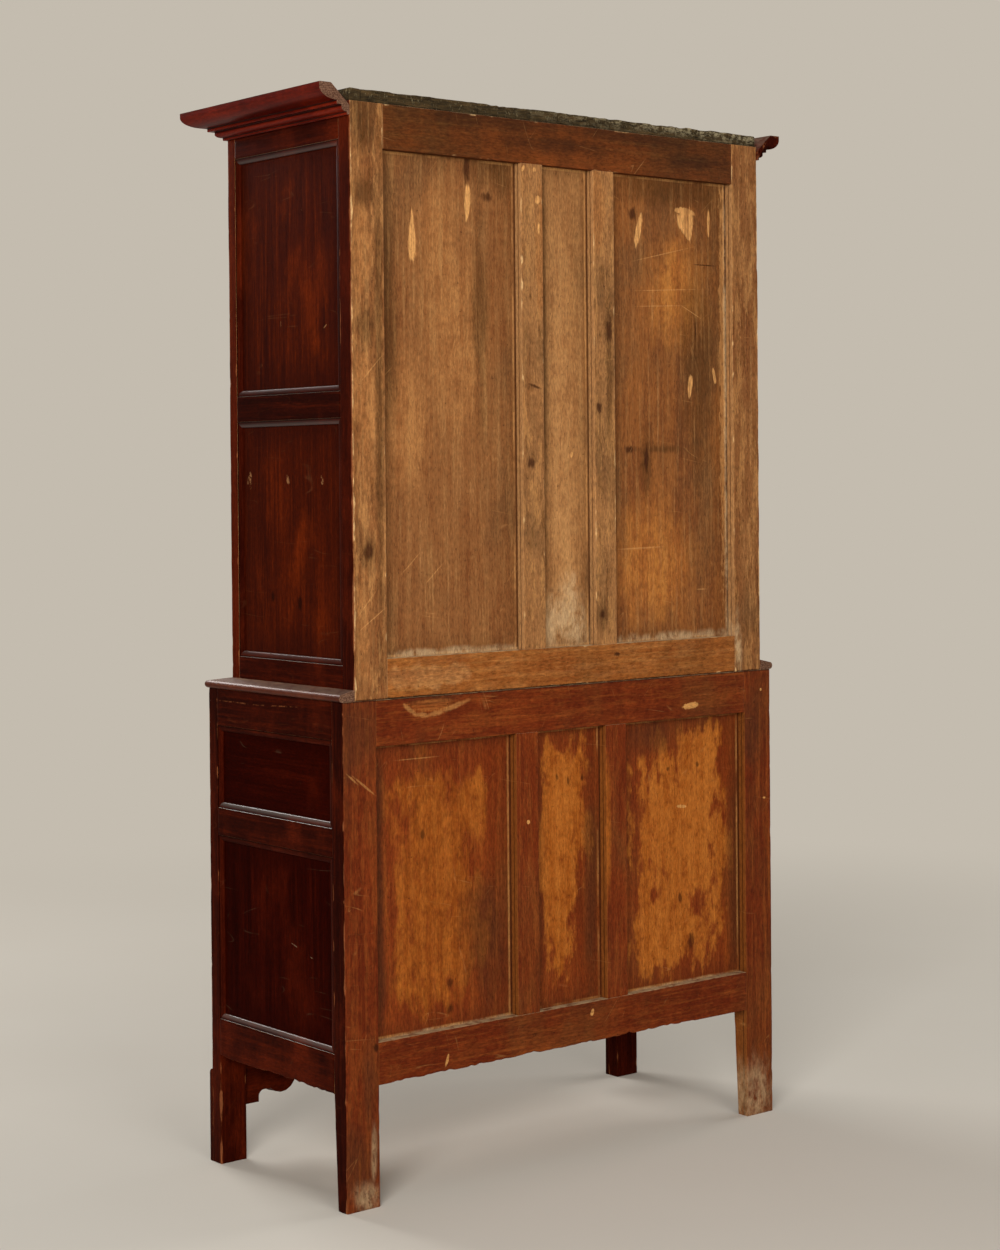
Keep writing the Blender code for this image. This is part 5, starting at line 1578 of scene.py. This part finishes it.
def cleaned(mesh):
    """Merges the points of a mesh that lie together, and the faces that lie in one plane."""
    work = bmesh.new()
    work.from_mesh(mesh)
    bmesh.ops.remove_doubles(work, verts=work.verts, dist=MERGE_GAP)
    bmesh.ops.dissolve_limit(work, angle_limit=FLAT_ANGLE, verts=work.verts, edges=work.edges)
    work.to_mesh(mesh)
    work.free()


def eased_copy(node, look, slot, grain_axis, width=WOOD_EASE):
    """The node's own shape with eased edges, in place of the node."""
    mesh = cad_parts[node].data.copy()
    cleaned(mesh)
    mesh.materials.clear()
    for _ in range(2):
        mesh.materials.append(LOOKS[look])
    mesh.polygons.foreach_set("material_index", np.zeros(len(mesh.polygons), int))
    rough = linked(node, mesh)
    ease = rough.modifiers.new("eased edges", "BEVEL")
    ease.width = width
    ease.segments = 2
    ease.material = 1
    ease.limit_method = "ANGLE"
    ease.angle_limit = SHARP_CORNER
    eased = bpy.data.meshes.new_from_object(rough.evaluated_get(bpy.context.evaluated_depsgraph_get()))
    bpy.data.objects.remove(rough)
    which = np.zeros(len(eased.polygons), int)
    eased.polygons.foreach_get("material_index", which)
    points = np.zeros(len(eased.vertices) * 3)
    eased.vertices.foreach_get("co", points)
    points = points.reshape(-1, 3)
    order = [grain_axis, (grain_axis + 1) % 3, (grain_axis + 2) % 3]
    carry(eased, "arris", which, "FACE")
    carry(eased, "grain", (points - points.mean(0))[:, order] + cut_from(node))
    carry(eased, "rim", np.ones_like(points))
    carry(eased, "shade", np.full(len(points), shade_of(node)))
    placed(f"{node}_eased", eased, "carcase", slot, node)


print("eased copies: edges cut by", WOOD_EASE, "m")

# %% Rails, shelves, feet and hinges
COPIES = {("polish", "polished"): ("base_front_frame", "bracket_foot_left", "bracket_foot_right"),
          ("inside", "inside"): ("upper_floor", "upper_shelf_1", "upper_shelf_2", "base_floor",
                                 "drawer_bed")}
for node in ("frieze_rail", "upper_bottom_rail", "base_bottom_rail"):
    part = board(node, *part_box(node), X, {"-y": "polish", "": "inside"}, radius=EASED_ARRIS, gap=0.03)
    finished(f"{node}_timber", [part], "carcase", "polished", node)
for (look, slot), nodes in COPIES.items():
    for node in nodes:
        eased_copy(node, look, slot, X)
hinges = [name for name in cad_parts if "hinge" in name]
for node in hinges:
    eased_copy(node, "brass", "brass", Z, width=HINGE_EASE)
print("rails, shelves, feet and", len(hinges), "hinges done")

# %% [markdown]
# ## Floor
# The floor is a wide pale disc. Far from the cupboard it fades into the colour of the studio behind it, so
# no horizon line crosses the picture from any side. The fade is only for what is seen directly, so the
# floor still takes the cupboard's shadow and throws the lamps' light back.

# %% Floor
STUDIO_TONE = tone("#c4bcaf")
FLOOR_RINGS, FLOOR_STEPS = (0.5, 2.0, 6.0, 40.0), 48
FADE_START, FADE_END = 1.4, 4.0


def seen_directly(w):
    """1 for what the camera, a gloss or a glass sees, and 0 for the light that falls on a surface."""
    ray = w.node("ShaderNodeLightPath").outputs
    seen = w.math("MAXIMUM", ray["Is Camera Ray"], ray["Is Glossy Ray"])
    return w.math("MAXIMUM", seen, ray["Is Transmission Ray"])


def floor_mesh():
    """A flat disc: point (i, j) is at radius i and at turn j round the middle."""
    radius = np.array(FLOOR_RINGS)[:, None]
    turn = np.linspace(0.0, 2 * np.pi, FLOOR_STEPS, endpoint=False)
    points = np.stack([radius * np.cos(turn), radius * np.sin(turn), 0 * radius * turn], -1)
    index = np.arange(len(FLOOR_RINGS) * FLOOR_STEPS).reshape(-1, FLOOR_STEPS)
    ahead = np.roll(index, -1, axis=1)
    quads = np.stack([index[:-1], index[1:], ahead[1:], ahead[:-1]], -1).reshape(-1, 4)
    mesh = bpy.data.meshes.new("floor")
    mesh.from_pydata(points.reshape(-1, 3).tolist(), [], quads.tolist() + [index[0].tolist()])
    return mesh


def pale_floor():
    """Pale ground, faintly clouded, that turns into the studio's own colour far from the middle."""
    w, shader = new_material("pale_floor")
    place = w.node("ShaderNodeTexCoord").outputs["Object"]
    cloud = w.noise(place, (1.5, 1.5, 1.5), 3.0)
    w.dress(shader, {"Base Color": w.mix(cloud, tone("#cbc3b6"), tone("#d0c9bd")), "Roughness": 0.9})
    reach = w.node("ShaderNodeVectorMath", {0: place}, operation="LENGTH").outputs["Value"]
    faded = w.times(w.step(reach, FADE_START, FADE_END), seen_directly(w))
    far = w.node("ShaderNodeEmission", {"Color": STUDIO_TONE}).outputs[0]
    both = w.node("ShaderNodeMixShader", {0: faded, 1: shader.outputs[0], 2: far}).outputs[0]
    w.dress(w.tree.nodes["Material Output"], {"Surface": both})


pale_floor()
floor = linked("floor", floor_mesh())
floor.data.materials.append(LOOKS["pale_floor"])
floor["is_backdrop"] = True
print("floor: a disc of", FLOOR_RINGS[-1], "m")

# %% [markdown]
# ## Light
# The light that falls on the cupboard comes from four soft lamps in a dim studio, which is bright only
# where it is seen directly. A large lamp stands to the right of the camera and a second one beside it, one
# stands before the front, and a weak one fills the far end.

# %% Light
STUDIO_LEVEL = 0.13
MIDDLE = Vector((0.0, 0.0, 1.0))
LAMPS = {"key": ((4.3, 3.8, 2.7), 2.4, 290.0), "second": ((1.0, 5.0, 2.2), 2.4, 100.0),
         "front": ((0.4, -3.8, 3.2), 2.0, 110.0), "left fill": ((-4.2, 0.6, 2.6), 2.4, 60.0)}
for name, (place, size, watts) in LAMPS.items():
    light = bpy.data.lights.new(name, "AREA")
    light.energy = watts
    light.size = size
    lamp = linked(name, light)
    lamp.location = place
    lamp.rotation_euler = (MIDDLE - Vector(place)).to_track_quat("-Z", "Y").to_euler()
world = bpy.data.worlds.new("studio")
world.use_nodes = True
w = Wiring(world.node_tree)
strength = w.math("MULTIPLY_ADD", seen_directly(w), 1.0 - STUDIO_LEVEL, STUDIO_LEVEL)
w.dress(world.node_tree.nodes["Background"], {"Color": STUDIO_TONE, "Strength": strength})
bpy.context.scene.world = world
bpy.context.scene.view_settings.view_transform = "Standard"
print("light:", len(LAMPS), "soft lamps in a dim studio")

# %% Sizes and finish
visual_box = [list(corner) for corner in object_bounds()]
print("box:", [[round(v, 4) for v in corner] for corner in visual_box])
